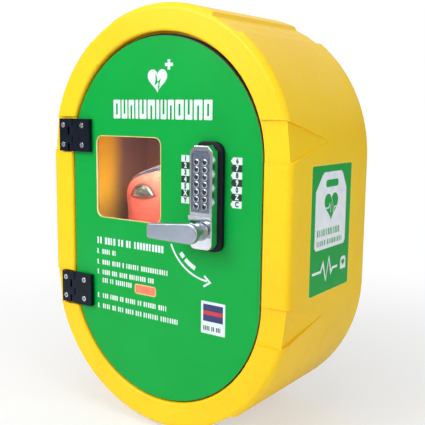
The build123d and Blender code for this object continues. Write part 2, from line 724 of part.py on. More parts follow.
with BuildPart() as spindle:
    with BuildSketch(front(211.2)):
        with Locations((LOCK_X, 0)):
            Rectangle(SPINDLE_AF, SPINDLE_AF)
    extrude(amount=LOCK_WALL_IN + 15.0 - 211.2)
    chamfer(spindle.faces().sort_by(Axis.Y)[0].edges(), 0.6)
spindle.part.label = "spindle"
export_step(spindle.part, "parts/spindle.step")

# ---------------------------------------------------------------- inside plate and latch
PLATE_IN = DOOR_BACK - 2.0            # 224.5
with BuildPart() as lock_inner_plate:
    with BuildSketch(front(PLATE_IN)):
        with Locations((LOCK_X, 44.5)):
            RectangleRounded(32, 148, 6)
        with Locations((LOCK_X, 0)):
            Circle(8.0, mode=Mode.SUBTRACT)
        with Locations(*[(LOCK_X, z) for z in BOLT_Z]):
            Circle(2.6, mode=Mode.SUBTRACT)
        with Locations((LOCK_X - 10, 27), (LOCK_X + 10, 27)):
            Circle(2.0, mode=Mode.SUBTRACT)
    extrude(amount=2.0)
lock_inner_plate.part.label = "lock_inner_plate"
export_step(lock_inner_plate.part, "parts/lock_inner_plate.step")

CASE_X0, CASE_X1 = 66.0, 148.0
LZ0, LZ1 = -13.0, 20.0
with BuildPart() as latch_case:
    with BuildSketch(front(210.5)):
        with Locations(((CASE_X0 + CASE_X1) / 2, (LZ0 + LZ1) / 2)):
            RectangleRounded(CASE_X1 - CASE_X0, LZ1 - LZ0, 2)
    extrude(amount=PLATE_IN - 210.5)
    with BuildSketch(front(210.0)):
        with Locations(((CASE_X0 + CASE_X1) / 2, (LZ0 + LZ1) / 2)):
            Rectangle(CASE_X1 - CASE_X0 - 3, LZ1 - LZ0 - 3)
    extrude(amount=PLATE_IN - 1.5 - 210.0, mode=Mode.SUBTRACT)
    # ears that screw to the inside plate
    with BuildSketch(front(PLATE_IN - 1.5)):
        with Locations((LOCK_X, 26)):
            RectangleRounded(32, 14, 2)
    extrude(amount=1.5)
    with BuildSketch(front(PLATE_IN - 2)):
        with Locations((LOCK_X - 10, 27), (LOCK_X + 10, 27)):
            Circle(2.0)
    extrude(amount=3, mode=Mode.SUBTRACT)
    # spindle hole and the mouth for the bolt
    with BuildSketch(front(PLATE_IN - 3)):
        with Locations((LOCK_X, 0)):
            Circle(7.5)
    extrude(amount=4, mode=Mode.SUBTRACT)
    with BuildSketch(Plane.YZ.offset(CASE_X1 - 3)):
        with Locations((-216.75, 0)):
            Rectangle(10.7, 16.7)
    extrude(amount=4, mode=Mode.SUBTRACT)
latch_case.part.label = "latch_case"
export_step(latch_case.part, "parts/latch_case.step")

with BuildPart() as latch_cover:
    with BuildSketch(front(209.0)):
        with Locations(((CASE_X0 + CASE_X1) / 2, (LZ0 + LZ1) / 2)):
            RectangleRounded(CASE_X1 - CASE_X0, LZ1 - LZ0, 2)
    extrude(amount=1.5)
    chamfer(latch_cover.faces().sort_by(Axis.Y)[-1].edges(), 0.4)
latch_cover.part.label = "latch_cover"
export_step(latch_cover.part, "parts/latch_cover.step")

with BuildPart() as lock_fixings:
    # two long bolts through the door into the lock front
    for z in BOLT_Z:
        with BuildSketch(front(PLATE_IN)):
            with Locations((LOCK_X, z)):
                Circle(4.4)
        extrude(amount=-3.0)
        with BuildSketch(front(PLATE_IN)):
            with Locations((LOCK_X, z)):
                Circle(2.5)
        extrude(amount=LOCK_WALL_IN - 3.5 - PLATE_IN)
        with BuildSketch(front(PLATE_IN - 3.0)):
            with Locations((LOCK_X, z)):
                RegularPolygon(1.7, 6)
        extrude(amount=1.5, mode=Mode.SUBTRACT)
    # two short screws for the latch case
    for x in (LOCK_X - 10, LOCK_X + 10):
        with BuildSketch(front(PLATE_IN - 1.5)):
            with Locations((x, 27)):
                Circle(3.6)
        extrude(amount=-2.4)
        with BuildSketch(front(PLATE_IN - 1.5)):
            with Locations((x, 27)):
                Circle(2.0)
        extrude(amount=3.4)
        with BuildSketch(front(PLATE_IN - 3.9)):
            with Locations((x, 27)):
                RegularPolygon(1.4, 6)
        extrude(amount=1.2, mode=Mode.SUBTRACT)
lock_fixings.part.label = "lock_fixings"
export_step(lock_fixings.part, "parts/lock_fixings.step")

fa = math.radians(FINGER_ANGLE)
tip = (LOCK_X + FINGER_R * math.sin(fa), FINGER_R * math.cos(fa))
with BuildPart() as latch_follower:
    with BuildSketch(front(211.0)):
        with Locations((LOCK_X, 0)):
            Circle(7.2)
        with Locations(tip):
            Circle(2.4)
        nx, nz = math.cos(fa) * 1.5, -math.sin(fa) * 1.5
        with BuildLine():
            Polyline((LOCK_X + nx, nz), (tip[0] + nx, tip[1] + nz), (tip[0] - nx, tip[1] - nz), (LOCK_X - nx, -nz), close=True)
        make_face()
        with Locations((LOCK_X, 0)):
            Rectangle(SPINDLE_AF + 0.1, SPINDLE_AF + 0.1, mode=Mode.SUBTRACT)
    extrude(amount=11.5)
latch_follower.part.label = "latch_follower"
export_step(latch_follower.part, "parts/latch_follower.step")

with BuildPart() as latch_bolt:
    with BuildSketch(front(211.8)):
        with BuildLine():
            Polyline((110, -8), (BOLT_TIP_X, -8), (BOLT_TIP_X, 8), (118, 8), (118, 17.6), (86, 17.6), (86, 7.6), (110, 7.6), close=True)
        make_face()
        # slot for the follower's finger, wider at its mouth
        with BuildLine():
            Polyline((tip[0] - 4.3, 7.0), (tip[0] - 2.7, 9.6), (tip[0] - 2.7, 14.6), (tip[0] + 2.7, 14.6),
                     (tip[0] + 2.7, 9.6), (tip[0] + 4.3, 7.0), close=True)
        make_face(mode=Mode.SUBTRACT)
    extrude(amount=10.0)
    nose = latch_bolt.faces().filter_by(Axis.X).sort_by(Axis.X)[-1].edges().sort_by(Axis.Y)[-1]
    chamfer(nose, 7.0)
latch_bolt.part.label = "latch_bolt"
export_step(latch_bolt.part, "parts/latch_bolt.step")

with BuildPart() as latch_spring:
    with BuildLine() as coil:
        Helix(pitch=2.9, height=17.0, radius=3.2, center=(68.3, -216.8, 12.6), direction=(1, 0, 0))
    with BuildSketch(Plane(origin=coil.line @ 0, z_dir=coil.line % 0)):
        Circle(0.42)
    sweep(path=coil.line, is_frenet=True)
latch_spring.part.label = "latch_spring"
export_step(latch_spring.part, "parts/latch_spring.step")

# ---------------------------------------------------------------- carry case


def case_outline(inset, mode=Mode.ADD):
    w = CASE_HALF_W - inset
    zb, zs, zp = CASE_BOTTOM + inset, CASE_SHOULDER - inset, CASE_PEAK - inset
    with BuildLine() as edge:
        Polyline((-w, zs), (-w, zb), (w, zb), (w, zs))
        ThreePointArc((w, zs), (0, zp), (-w, zs))
    make_face(edge.edges(), mode=mode)


with BuildPart() as carry_case:
    with BuildSketch(front(CASE_H0)) as case_face:
        case_outline(0)
        tops = case_face.vertices().sort_by(Axis.Y)[-2:]
        lows = case_face.vertices().sort_by(Axis.Y)[:2]
        fillet(tops, 46)
        fillet(lows, 25)
    extrude(amount=CASE_H1 - CASE_H0)
    fillet(carry_case.faces().sort_by(Axis.Y)[0].edges(), 13)
    fillet(carry_case.faces().sort_by(Axis.Y)[-1].edges(), 8)
    with BuildSketch(front(CASE_H0 + CASE_WALL)) as hollow_face:
        case_outline(CASE_WALL)
        tops = hollow_face.vertices().sort_by(Axis.Y)[-2:]
        lows = hollow_face.vertices().sort_by(Axis.Y)[:2]
        fillet(tops, 42)
        fillet(lows, 20)
    extrude(amount=CASE_H1 - CASE_H0 - 2 * CASE_WALL, mode=Mode.SUBTRACT)
    # half-moon opening for the clear window
    with BuildSketch(front(CASE_H1 - CASE_WALL - 1)):
        with BuildLine():
            ThreePointArc((-99.5, 31.5), (-77.5, 45.0), (-55.5, 31.5))
            ThreePointArc((-55.5, 31.5), (-77.5, 24.5), (-99.5, 31.5))
        make_face()
    extrude(amount=CASE_WALL + 2, mode=Mode.SUBTRACT)
carry_case.part.label = "carry_case"
export_step(carry_case.part, "parts/carry_case.step")

with BuildPart() as case_window:
    with BuildSketch(front(CASE_H1 - 3.0)):
        with BuildLine():
            ThreePointArc((-98.7, 31.5), (-77.5, 44.8), (-56.3, 31.5))
            ThreePointArc((-56.3, 31.5), (-77.5, 24.7), (-98.7, 31.5))
        make_face()
    extrude(amount=1.0)
case_window.part.label = "case_window"
export_step(case_window.part, "parts/case_window.step")

# strap: a flat webbing arch sewn to the top of the case
with BuildPart() as case_strap:
    with BuildSketch(front(95.5)):
        with BuildLine():
            ThreePointArc((-62, 72.0), (0, 112.0), (62, 72.0))
            Line((62, 72.0), (58.5, 72.0))
            ThreePointArc((58.5, 72.0), (0, 109.2), (-58.5, 72.0))
            Line((-58.5, 72.0), (-62, 72.0))
        make_face()
    extrude(amount=25)
    with BuildSketch(front(95)):
        case_outline(-0.15)
    extrude(amount=26, mode=Mode.SUBTRACT)
case_strap.part.label = "case_strap"
export_step(case_strap.part, "parts/case_strap.step")

# ---------------------------------------------------------------- defibrillator in the case
AED_H0, AED_H1, AED_SPLIT = 70.0, 158.0, 118.0
AED_W, AED_Z0, AED_Z1 = 202.0, -143.8, 60.0
SHOCK = (56.0, -70.0)
POWER = (-56.0, -70.0)
STATUS = (-77.5, 34.0)


def aed_outline(inset):
    with BuildLine() as edge:
        Polyline((-AED_W / 2 + inset, AED_Z0 + inset), (AED_W / 2 - inset, AED_Z0 + inset),
                 (AED_W / 2 - inset, AED_Z1 - inset), (-AED_W / 2 + inset, AED_Z1 - inset), close=True)
    make_face(edge.edges())


with BuildPart() as aed_front_housing:
    with BuildSketch(front(AED_SPLIT)) as f1:
        aed_outline(0)
        fillet(f1.vertices().sort_by(Axis.Y)[-2:], 34)
        fillet(f1.vertices().sort_by(Axis.Y)[:2], 20)
    extrude(amount=AED_H1 - AED_SPLIT)
    fillet(aed_front_housing.faces().sort_by(Axis.Y)[0].edges(), 9)
    with BuildSketch(front(AED_SPLIT)) as f2:
        aed_outline(3.5)
        fillet(f2.vertices().sort_by(Axis.Y)[-2:], 30.5)
        fillet(f2.vertices().sort_by(Axis.Y)[:2], 16.5)
    extrude(amount=AED_H1 - AED_SPLIT - 3.5, mode=Mode.SUBTRACT)
    with BuildSketch(front(AED_H1 - 5)):
        with Locations(SHOCK):
            Circle(14.1)
        with Locations(POWER):
            Circle(10.1)
        with Locations(STATUS):
            Circle(5.0)
    extrude(amount=8, mode=Mode.SUBTRACT)
    # speaker slots
    with BuildSketch(front(AED_H1 - 5)):
        with Locations(*[(0, -118 + 5 * i) for i in range(5)]):
            SlotOverall(36, 2.2)
    extrude(amount=8, mode=Mode.SUBTRACT)
aed_front_housing.part.label = "aed_front_housing"
export_step(aed_front_housing.part, "parts/aed_front_housing.step")

with BuildPart() as aed_rear_housing:
    with BuildSketch(front(AED_H0)) as f3:
        aed_outline(0)
        fillet(f3.vertices().sort_by(Axis.Y)[-2:], 34)
        fillet(f3.vertices().sort_by(Axis.Y)[:2], 20)
    extrude(amount=AED_SPLIT - AED_H0)
    fillet(aed_rear_housing.faces().sort_by(Axis.Y)[-1].edges(), 9)
    with BuildSketch(front(AED_H0 + 3.5)) as f4:
        aed_outline(3.5)
        fillet(f4.vertices().sort_by(Axis.Y)[-2:], 30.5)
        fillet(f4.vertices().sort_by(Axis.Y)[:2], 16.5)
    extrude(amount=AED_SPLIT - AED_H0, mode=Mode.SUBTRACT)
aed_rear_housing.part.label = "aed_rear_housing"
export_step(aed_rear_housing.part, "parts/aed_rear_housing.step")

with BuildPart() as aed_battery:
    with BuildSketch(front(AED_H0 + 5)):
        with Locations((-48, -85)):
            RectangleRounded(80, 90, 5)
    extrude(amount=32)
    fillet(aed_battery.faces().sort_by(Axis.Y)[0].edges(), 2)
aed_battery.part.label = "aed_battery"
export_step(aed_battery.part, "parts/aed_battery.step")

with BuildPart() as pads_cartridge:
    with BuildSketch(front(AED_H0 + 5)):
        with Locations((46, -60)):
            RectangleRounded(86, 140, 8)
    extrude(amount=26)
    fillet(pads_cartridge.faces().sort_by(Axis.Y)[0].edges(), 3)
pads_cartridge.part.label = "pads_cartridge"
export_step(pads_cartridge.part, "parts/pads_cartridge.step")

with BuildPart() as status_light:
    with BuildSketch(front(AED_H1 - 6)):
        with Locations(STATUS):
            Circle(4.9)
    extrude(amount=7.5)
    fillet(status_light.faces().sort_by(Axis.Y)[0].edges(), 1.4)
    with BuildSketch(front(AED_H1 - 6)):
        with Locations(STATUS):
            Circle(6.5)
    extrude(amount=2.4)
status_light.part.label = "status_light"
export_step(status_light.part, "parts/status_light.step")

with BuildPart() as shock_button:
    with BuildSketch(front(AED_H1 - 6.4)):
        with Locations(SHOCK):
            Circle(16.5)
    extrude(amount=2.8)
    with BuildSketch(front(AED_H1 - 4)):
        with Locations(SHOCK):
            Circle(14.0)
    extrude(amount=6.4)
    fillet(shock_button.faces().sort_by(Axis.Y)[0].edges(), 1.6)
shock_button.part.label = "shock_button"
export_step(shock_button.part, "parts/shock_button.step")

with BuildPart() as power_button:
    with BuildSketch(front(AED_H1 - 6.4)):
        with Locations(POWER):
            Circle(12.5)
    extrude(amount=2.8)
    with BuildSketch(front(AED_H1 - 4)):
        with Locations(POWER):
            Circle(10.0)
    extrude(amount=6.4)
    fillet(power_button.faces().sort_by(Axis.Y)[0].edges(), 1.6)
power_button.part.label = "power_button"
export_step(power_button.part, "parts/power_button.step")
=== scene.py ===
import json
import math
import random

import bmesh
import bpy
from mathutils import Matrix, Vector
from mathutils.bvhtree import BVHTree


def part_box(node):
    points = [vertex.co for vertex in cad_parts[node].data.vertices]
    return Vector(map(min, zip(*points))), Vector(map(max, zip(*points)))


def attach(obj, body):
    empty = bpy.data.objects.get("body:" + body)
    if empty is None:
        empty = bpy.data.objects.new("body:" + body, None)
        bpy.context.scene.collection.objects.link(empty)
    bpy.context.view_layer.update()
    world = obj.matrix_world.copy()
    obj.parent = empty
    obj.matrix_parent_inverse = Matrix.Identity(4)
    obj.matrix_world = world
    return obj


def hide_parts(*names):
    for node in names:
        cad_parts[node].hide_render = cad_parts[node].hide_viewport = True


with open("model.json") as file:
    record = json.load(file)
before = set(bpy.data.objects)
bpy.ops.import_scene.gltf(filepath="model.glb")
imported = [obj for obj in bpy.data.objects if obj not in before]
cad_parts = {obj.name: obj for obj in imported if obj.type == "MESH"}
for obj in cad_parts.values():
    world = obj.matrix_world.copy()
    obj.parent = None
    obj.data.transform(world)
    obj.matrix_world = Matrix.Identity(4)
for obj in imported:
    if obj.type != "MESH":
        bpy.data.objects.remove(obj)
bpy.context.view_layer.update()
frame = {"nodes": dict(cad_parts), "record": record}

NODES = frame["nodes"]
MM = 0.001
random.seed(7)


# ------------------------------------------------------------------ dimensions read from the frame
def h_of(y):
    """Distance in front of the wall, in mm, of a row-frame y in metres."""
    return -y / MM


door_lo, door_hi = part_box("door_panel")
DOOR_H = h_of(door_lo.y)
shell_lo, shell_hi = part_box("body_shell")
SHELL_DEPTH = h_of(shell_lo.y)
R_BACK = shell_hi.x / MM
R_FRONT = R_BACK - 3.9
case_lo, case_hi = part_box("carry_case")
CASE_H0, CASE_H1 = h_of(case_hi.y), h_of(case_lo.y)
CASE_W = case_hi.x / MM
CASE_ZB = case_lo.z / MM
FLOOR_Z = shell_lo.z - 0.0006


def side_r(h):
    return R_BACK + (R_FRONT - R_BACK) * h / SHELL_DEPTH


# ------------------------------------------------------------------ node materials
class Mat:
    def __init__(self, name, **base):
        self.m = bpy.data.materials.new(name)
        self.m.use_nodes = True
        self.t = self.m.node_tree
        self.t.nodes.clear()
        self.out = self.n("ShaderNodeOutputMaterial")
        self.b = self.n("ShaderNodeBsdfPrincipled")
        self.link(self.b.outputs[0], self.out.inputs[0])
        self.co = self.n("ShaderNodeTexCoord").outputs["Object"]
        for k, v in base.items():
            self.set(k.replace("_", " "), v)

    def n(self, kind, **props):
        node = self.t.nodes.new(kind)
        for k, v in props.items():
            setattr(node, k, v)
        return node

    def link(self, a, b):
        self.t.links.new(a, b)

    def put(self, socket, value):
        if isinstance(value, bpy.types.NodeSocket):
            self.link(value, socket)
        elif isinstance(value, (tuple, list)) and len(value) == 3 and len(getattr(socket, "default_value", [0])) == 4:
            socket.default_value = (*value, 1.0)
        else:
            socket.default_value = value

    def set(self, name, value):
        self.put(self.b.inputs[name], value)
        return self

    def scaled(self, vec):
        node = self.n("ShaderNodeMapping")
        self.link(self.co, node.inputs["Vector"])
        node.inputs["Scale"].default_value = vec
        return node.outputs[0]

    def noise(self, scale, detail=3.0, rough=0.5, vec=None, distortion=0.0):
        node = self.n("ShaderNodeTexNoise")
        self.link(vec or self.co, node.inputs["Vector"])
        node.inputs["Scale"].default_value = scale
        node.inputs["Detail"].default_value = detail
        node.inputs["Roughness"].default_value = rough
        node.inputs["Distortion"].default_value = distortion
        return node.outputs["Fac"]

    def voronoi(self, scale, vec=None, feature="F1"):
        node = self.n("ShaderNodeTexVoronoi", feature=feature)
        self.link(vec or self.co, node.inputs["Vector"])
        node.inputs["Scale"].default_value = scale
        return node.outputs["Distance"]

    def wave(self, scale, direction="X", vec=None, distortion=0.0):
        node = self.n("ShaderNodeTexWave", wave_type="BANDS", bands_direction=direction)
        self.link(vec or self.co, node.inputs["Vector"])
        node.inputs["Scale"].default_value = scale
        node.inputs["Distortion"].default_value = distortion
        return node.outputs["Fac"]

    def map(self, value, lo, hi, a=0.0, b=1.0, smooth=False):
        node = self.n("ShaderNodeMapRange", clamp=True)
        if smooth:
            node.interpolation_type = "SMOOTHSTEP"
        self.put(node.inputs["Value"], value)
        for k, v in zip(("From Min", "From Max", "To Min", "To Max"), (lo, hi, a, b)):
            node.inputs[k].default_value = v
        return node.outputs[0]

    def math(self, op, a, b=0.0):
        node = self.n("ShaderNodeMath", operation=op)
        self.put(node.inputs[0], a)
        self.put(node.inputs[1], b)
        return node.outputs[0]

    def mix(self, fac, a, b, blend="MIX"):
        node = self.n("ShaderNodeMix", data_type="RGBA", blend_type=blend)
        self.put(node.inputs["Factor"], fac)
        self.put(node.inputs[6], a)
        self.put(node.inputs[7], b)
        return node.outputs[2]

    def xyz(self, source=None):
        node = self.n("ShaderNodeSeparateXYZ")
        self.link(source or self.co, node.inputs[0])
        return node.outputs

    def normal(self):
        return self.xyz(self.n("ShaderNodeTexCoord").outputs["Normal"])

    def bump(self, height, strength, distance, under=None):
        node = self.n("ShaderNodeBump")
        node.inputs["Strength"].default_value = strength
        node.inputs["Distance"].default_value = distance
        self.link(height, node.inputs["Height"])
        if under is not None:
            self.link(under, node.inputs["Normal"])
        self.link(node.outputs[0], self.b.inputs["Normal"])
        return node.outputs[0]

    def edge(self, radius, lo=0.0, hi=0.25):
        """0 on flats, 1 near a sharp or rounded edge."""
        bev = self.n("ShaderNodeBevel", samples=4)
        bev.inputs["Radius"].default_value = radius
        geo = self.n("ShaderNodeNewGeometry")
        dot = self.n("ShaderNodeVectorMath", operation="DOT_PRODUCT")
        self.link(bev.outputs[0], dot.inputs[0])
        self.link(geo.outputs["Normal"], dot.inputs[1])
        return self.map(self.math("SUBTRACT", 1.0, dot.outputs["Value"]), lo, hi)


def lin(r, g, b):
    """sRGB 0-255 to linear."""
    def f(c):
        c /= 255
        return c / 12.92 if c <= 0.04045 else ((c + 0.055) / 1.055) ** 2.4
    return f(r), f(g), f(b)


def shell_yellow():
    m = Mat("shell_yellow_moulded")
    # large soft colour drift, fine mottling of the moulding powder
    drift = m.noise(5, 2)
    mottle = m.noise(190, 4, 0.65)
    col = m.mix(m.map(drift, 0.35, 0.65), lin(252, 204, 12), lin(255, 214, 20))
    col = m.mix(m.map(mottle, 0.3, 0.8, 0.0, 0.16), col, lin(226, 168, 8))
    x, y, z = m.xyz()
    # blotchy darkening that grows towards the bottom of the flanks
    low_blotch_darkening = m.math("MULTIPLY", m.map(z, -0.05, -0.31), m.map(m.noise(22, 5, 0.6), 0.52, 0.75, 0.0, 0.22))
    col = m.mix(low_blotch_darkening, col, lin(150, 110, 30))
    # inside the cavity: painted light and shade on the wall, a lit amber near the opening that falls into painted
    # shade behind it
    over = m.math("MAXIMUM", m.math("SUBTRACT", m.math("ABSOLUTE", z), 0.093), 0.0)
    dist = m.math("SQRT", m.math("ADD", m.math("POWER", over, 2.0), m.math("POWER", x, 2.0)))
    nx, ny, nz = m.normal()
    radial = m.math("ADD", m.math("MULTIPLY", nx, x), m.math("MULTIPLY", m.math("MULTIPLY", nz, over), m.math("SIGN", z)))
    inward = m.map(radial, -0.02, -0.05)
    floor_in = m.math("MULTIPLY", m.map(y, -0.0120, -0.0110), m.map(ny, -0.5, -0.8))
    inside = m.math("MULTIPLY", m.math("MAXIMUM", inward, floor_in), m.map(dist, 0.2138, 0.2122))
    inside = m.math("MULTIPLY", inside, m.map(y, -0.2262, -0.2248))
    inside = m.math("MULTIPLY", inside, m.map(y, -0.0008, -0.0016))
    wob = m.math("ADD", y, m.map(m.noise(9, 2), 0.3, 0.7, -0.006, 0.006))
    deep = m.map(wob, -0.112, -0.066, smooth=True)
    # painted light: the lit amber is brighter towards the bottom
    low = m.map(z, 0.14, -0.03)
    painted_lit_amber = m.mix(low, lin(238, 156, 34), lin(255, 194, 66))
    # painted shade: dim brown for the unlit back of the cavity
    dark = m.mix(m.map(z, 0.10, -0.02), lin(138, 92, 88), lin(158, 106, 74))
    col = m.mix(inside, col, m.mix(deep, painted_lit_amber, dark))
    m.set("Base Color", col)
    m.set("Roughness", m.map(m.noise(60, 4), 0.3, 0.7, 0.33, 0.46))
    m.set("Specular IOR Level", 0.30)
    m.set("Subsurface Weight", 0.04)
    m.set("Subsurface Radius", (0.02, 0.012, 0.003))
    m.set("Subsurface Scale", 0.1)
    peel = m.bump(m.noise(310, 2, 0.4), 0.16, 0.0005)
    m.bump(m.noise(38, 2, 0.4), 0.20, 0.0012, peel)
    return m.m


def door_green(name="door_green_film", flat=False):
    m = Mat(name)
    mott = m.noise(14, 3, 0.5)
    col = m.mix(m.map(mott, 0.3, 0.75), lin(0, 160, 62), lin(0, 167, 67))
    dust = m.map(m.noise(420, 5, 0.7), 0.66, 0.82, 0.0, 0.05)
    col = m.mix(dust, col, lin(90, 190, 130))
    if not flat:
        nx, ny, nz = m.normal()
        rim = m.map(m.math("ABSOLUTE", ny), 0.55, 0.35)
        metal = m.mix(m.noise(900, 2), lin(150, 190, 165), lin(205, 222, 210))
        col = m.mix(rim, col, metal)
        m.set("Metallic", m.math("MULTIPLY", rim, 0.75))
        back = m.map(ny, 0.35, 0.6)
        col = m.mix(back, col, m.mix(m.noise(55, 3), lin(196, 199, 198), lin(222, 224, 222)))
    m.set("Base Color", col)
    m.set("Roughness", m.map(m.noise(34, 4), 0.3, 0.7, 0.30, 0.38))
    m.set("Specular IOR Level", 0.16)
    m.set("Coat Weight", 0.06)
    m.set("Coat Roughness", 0.12)
    m.bump(m.noise(240, 2, 0.35), 0.04, 0.0004)
    return m.m


def film(name, rgb, rgb2=None, rough=0.35):
    """Printed or cut vinyl film."""
    m = Mat(name)
    rgb2 = rgb2 or tuple(int(c * 0.93) for c in rgb)
    col = m.mix(m.map(m.noise(70, 4, 0.6), 0.35, 0.7), lin(*rgb), lin(*rgb2))
    m.set("Base Color", col)
    m.set("Roughness", m.map(m.noise(120, 3), 0.3, 0.7, rough - 0.05, rough + 0.1))
    m.set("Coat Weight", 0.2)
    m.bump(m.noise(520, 2, 0.4), 0.04, 0.0002)
    return m.m


def clear(name, tint=(0.96, 0.98, 0.985), gloss=0.03, scratches=True):
    """Thin clear sheet: lets light straight through and reflects at glancing angles."""
    m = Mat(name)
    m.t.nodes.remove(m.b)
    tr = m.n("ShaderNodeBsdfTransparent")
    tr.inputs[0].default_value = (*tint, 1)
    gl = m.n("ShaderNodeBsdfGlossy")
    gl.inputs["Color"].default_value = (1, 1, 1, 1)
    rough = m.map(m.noise(46, 5, 0.7), 0.35, 0.8, gloss, gloss + 0.10)
    m.link(rough, gl.inputs["Roughness"])
    lw = m.n("ShaderNodeLayerWeight")
    lw.inputs["Blend"].default_value = 0.16
    fac = m.math("ADD", m.math("MULTIPLY", lw.outputs["Fresnel"], 0.55), 0.012)
    if scratches:
        hair = m.map(m.noise(30, 2, 0.5, m.scaled((9, 9, 0.7)), 1.2), 0.498, 0.502, 0.0, 1.0)
        hair2 = m.map(m.noise(30, 2, 0.5, m.scaled((9, 9, 0.7)), 1.2), 0.502, 0.506, 1.0, 0.0)
        fac = m.math("ADD", fac, m.math("MULTIPLY", m.math("MULTIPLY", hair, hair2), 0.03))
    lp = m.n("ShaderNodeLightPath")
    open_ray = m.math("MAXIMUM", lp.outputs["Is Shadow Ray"], lp.outputs["Is Diffuse Ray"])
    fac = m.math("MULTIPLY", fac, m.math("SUBTRACT", 1.0, open_ray))
    ms = m.n("ShaderNodeMixShader")
    m.link(fac, ms.inputs[0])
    m.link(tr.outputs[0], ms.inputs[1])
    m.link(gl.outputs[0], ms.inputs[2])
    m.link(ms.outputs[0], m.out.inputs[0])
    return m.m


def smoked_film():
    """Scuffed clear film over the case's view port: grey, wrinkled, half see-through, with painted shade in its
    creases and a painted glint.
    """
    m = Mat("case_window_film")
    crease = m.noise(95, 4, 0.6, None, 0.8)
    x, y, z = m.xyz()
    # the grey follows the crease height: painted light on the ridges, painted shade in the hollows
    crease_shaded_grey = m.mix(m.map(crease, 0.38, 0.64), lin(96, 90, 80), lin(186, 182, 168))
    # painted highlight: a pale glint line along one sharp crease down the right-hand shoulder of the film
    off = m.math("ADD", m.math("ADD", m.math("MULTIPLY", x, 0.730), m.math("MULTIPLY", z, 0.686)), 0.02287)
    along = m.math("SUBTRACT", m.math("MULTIPLY", m.math("ADD", x, 0.0679), 0.686), m.math("MULTIPLY", m.math("SUBTRACT", z, 0.0395), 0.730))
    painted_glint = m.math("MULTIPLY", m.map(m.math("ABSOLUTE", off), 0.0013, 0.0008), m.math("MULTIPLY", m.map(along, -0.001, 0.002), m.map(along, 0.0145, 0.0110)))
    m.set("Base Color", m.mix(painted_glint, crease_shaded_grey, lin(255, 255, 255)))
    m.set("Roughness", 0.10)
    m.set("Specular IOR Level", 0.9)
    m.set("Coat Weight", 0.8)
    # the painted glint is also left opaque
    m.set("Alpha", m.math("MAXIMUM", m.map(m.noise(60, 3), 0.35, 0.7, 0.66, 0.88), painted_glint))
    m.bump(crease, 0.9, 0.0016)
    return m.m


def metal(name, rgb, rough=(0.16, 0.28), brush=None, dark=None, wave=0.03, aniso=0.0):
    m = Mat(name, Metallic=1.0)
    base = lin(*rgb)
    dark = lin(*dark) if dark else tuple(c * 0.72 for c in base)
    smear = m.noise(26, 4, 0.6)
    col = m.mix(m.map(smear, 0.35, 0.72, 0.0, 0.5), base, dark)
    pits = m.map(m.noise(700, 3, 0.6), 0.66, 0.78, 0.0, 0.35)
    col = m.mix(pits, col, tuple(c * 0.5 for c in base))
    m.set("Base Color", col)
    if brush:
        vec = m.scaled(brush)
        lines = m.noise(60, 4, 0.7, vec)
        m.set("Roughness", m.map(lines, 0.3, 0.7, rough[0], rough[1]))
        m.bump(lines, 0.06, 0.0002)
    else:
        m.set("Roughness", m.map(m.noise(90, 4, 0.6), 0.3, 0.7, rough[0], rough[1]))
        m.bump(m.noise(120, 3, 0.5), wave, 0.0004)
    if aniso:
        m.set("Anisotropic", aniso)
    return m.m


def plastic(name, rgb, rough=0.45, grain=420, strength=0.10, painted_edge_highlight=None, spec=0.5):
    m = Mat(name)
    m.set("Specular IOR Level", spec)
    base = lin(*rgb)
    col = m.mix(m.map(m.noise(18, 3), 0.35, 0.7, 0.0, 0.5), base, tuple(c * 0.82 for c in base))
    # painted highlight: the edges are lifted towards a lighter blue
    if painted_edge_highlight:
        col = m.mix(m.math("MULTIPLY", m.edge(0.0008, 0.01, 0.2), 0.6), col, lin(*painted_edge_highlight))
    m.set("Base Color", col)
    m.set("Roughness", m.map(m.noise(80, 4), 0.3, 0.7, rough - 0.07, rough + 0.08))
    m.bump(m.noise(grain, 3, 0.5), strength, 0.0004)
    return m.m


def rubber(name, rgb=(26, 26, 28), rough=0.72):
    m = Mat(name)
    m.set("Specular IOR Level", 0.25)
    base = lin(*rgb)
    bloom = m.map(m.noise(45, 5, 0.65), 0.5, 0.8, 0.0, 0.5)
    m.set("Base Color", m.mix(bloom, base, tuple(min(1, c * 2.2 + 0.003) for c in base)))
    m.set("Roughness", m.map(m.noise(150, 3), 0.3, 0.7, rough - 0.1, rough + 0.12))
    m.bump(m.noise(900, 3, 0.6), 0.16, 0.0004)
    return m.m


def weave_height(m, pitch, vec=None):
    """Plain-weave height field from two crossed sine bands, pitch in metres."""
    x, y, z = m.xyz(vec)
    k = math.tau / pitch
    a = m.math("SINE", m.math("MULTIPLY", m.math("ADD", x, m.math("MULTIPLY", y, 0.7)), k))
    b = m.math("SINE", m.math("MULTIPLY", m.math("ADD", z, m.math("MULTIPLY", y, 0.7)), k))
    return m.math("MULTIPLY", a, b)


def case_fabric():
    m = Mat("case_fabric_woven")
    x, y, z = m.xyz()
    shade = m.noise(28, 4, 0.6)
    coral = m.mix(m.map(shade, 0.3, 0.75), lin(251, 108, 84), lin(235, 86, 66))
    # fuzz and rubbed highlights, scattered over the whole fabric
    fuzz = m.map(m.noise(850, 4, 0.7), 0.55, 0.8, 0.0, 0.22)
    coral = m.mix(fuzz, coral, lin(255, 150, 122))
    navy = m.mix(m.noise(300, 3), lin(30, 36, 52), lin(48, 54, 74))
    # the navy gusset starts right behind the crown on top and further back down the sides
    start = m.map(z, 0.034, 0.060, -0.1500, -0.1692)
    band = m.math("MULTIPLY", m.map(m.math("SUBTRACT", y, start), 0.0, 0.0005), m.map(y, -0.0660, -0.0665))
    m.set("Base Color", m.mix(band, coral, navy))
    m.set("Roughness", 0.68)
    m.set("Sheen Weight", 0.35)
    m.set("Sheen Roughness", 0.4)
    m.set("Sheen Tint", (1.0, 0.75, 0.68, 1.0))
    w = m.bump(weave_height(m, 0.0016), 0.22, 0.0005)
    m.bump(m.noise(70, 4, 0.55), 0.25, 0.0016, w)
    return m.m


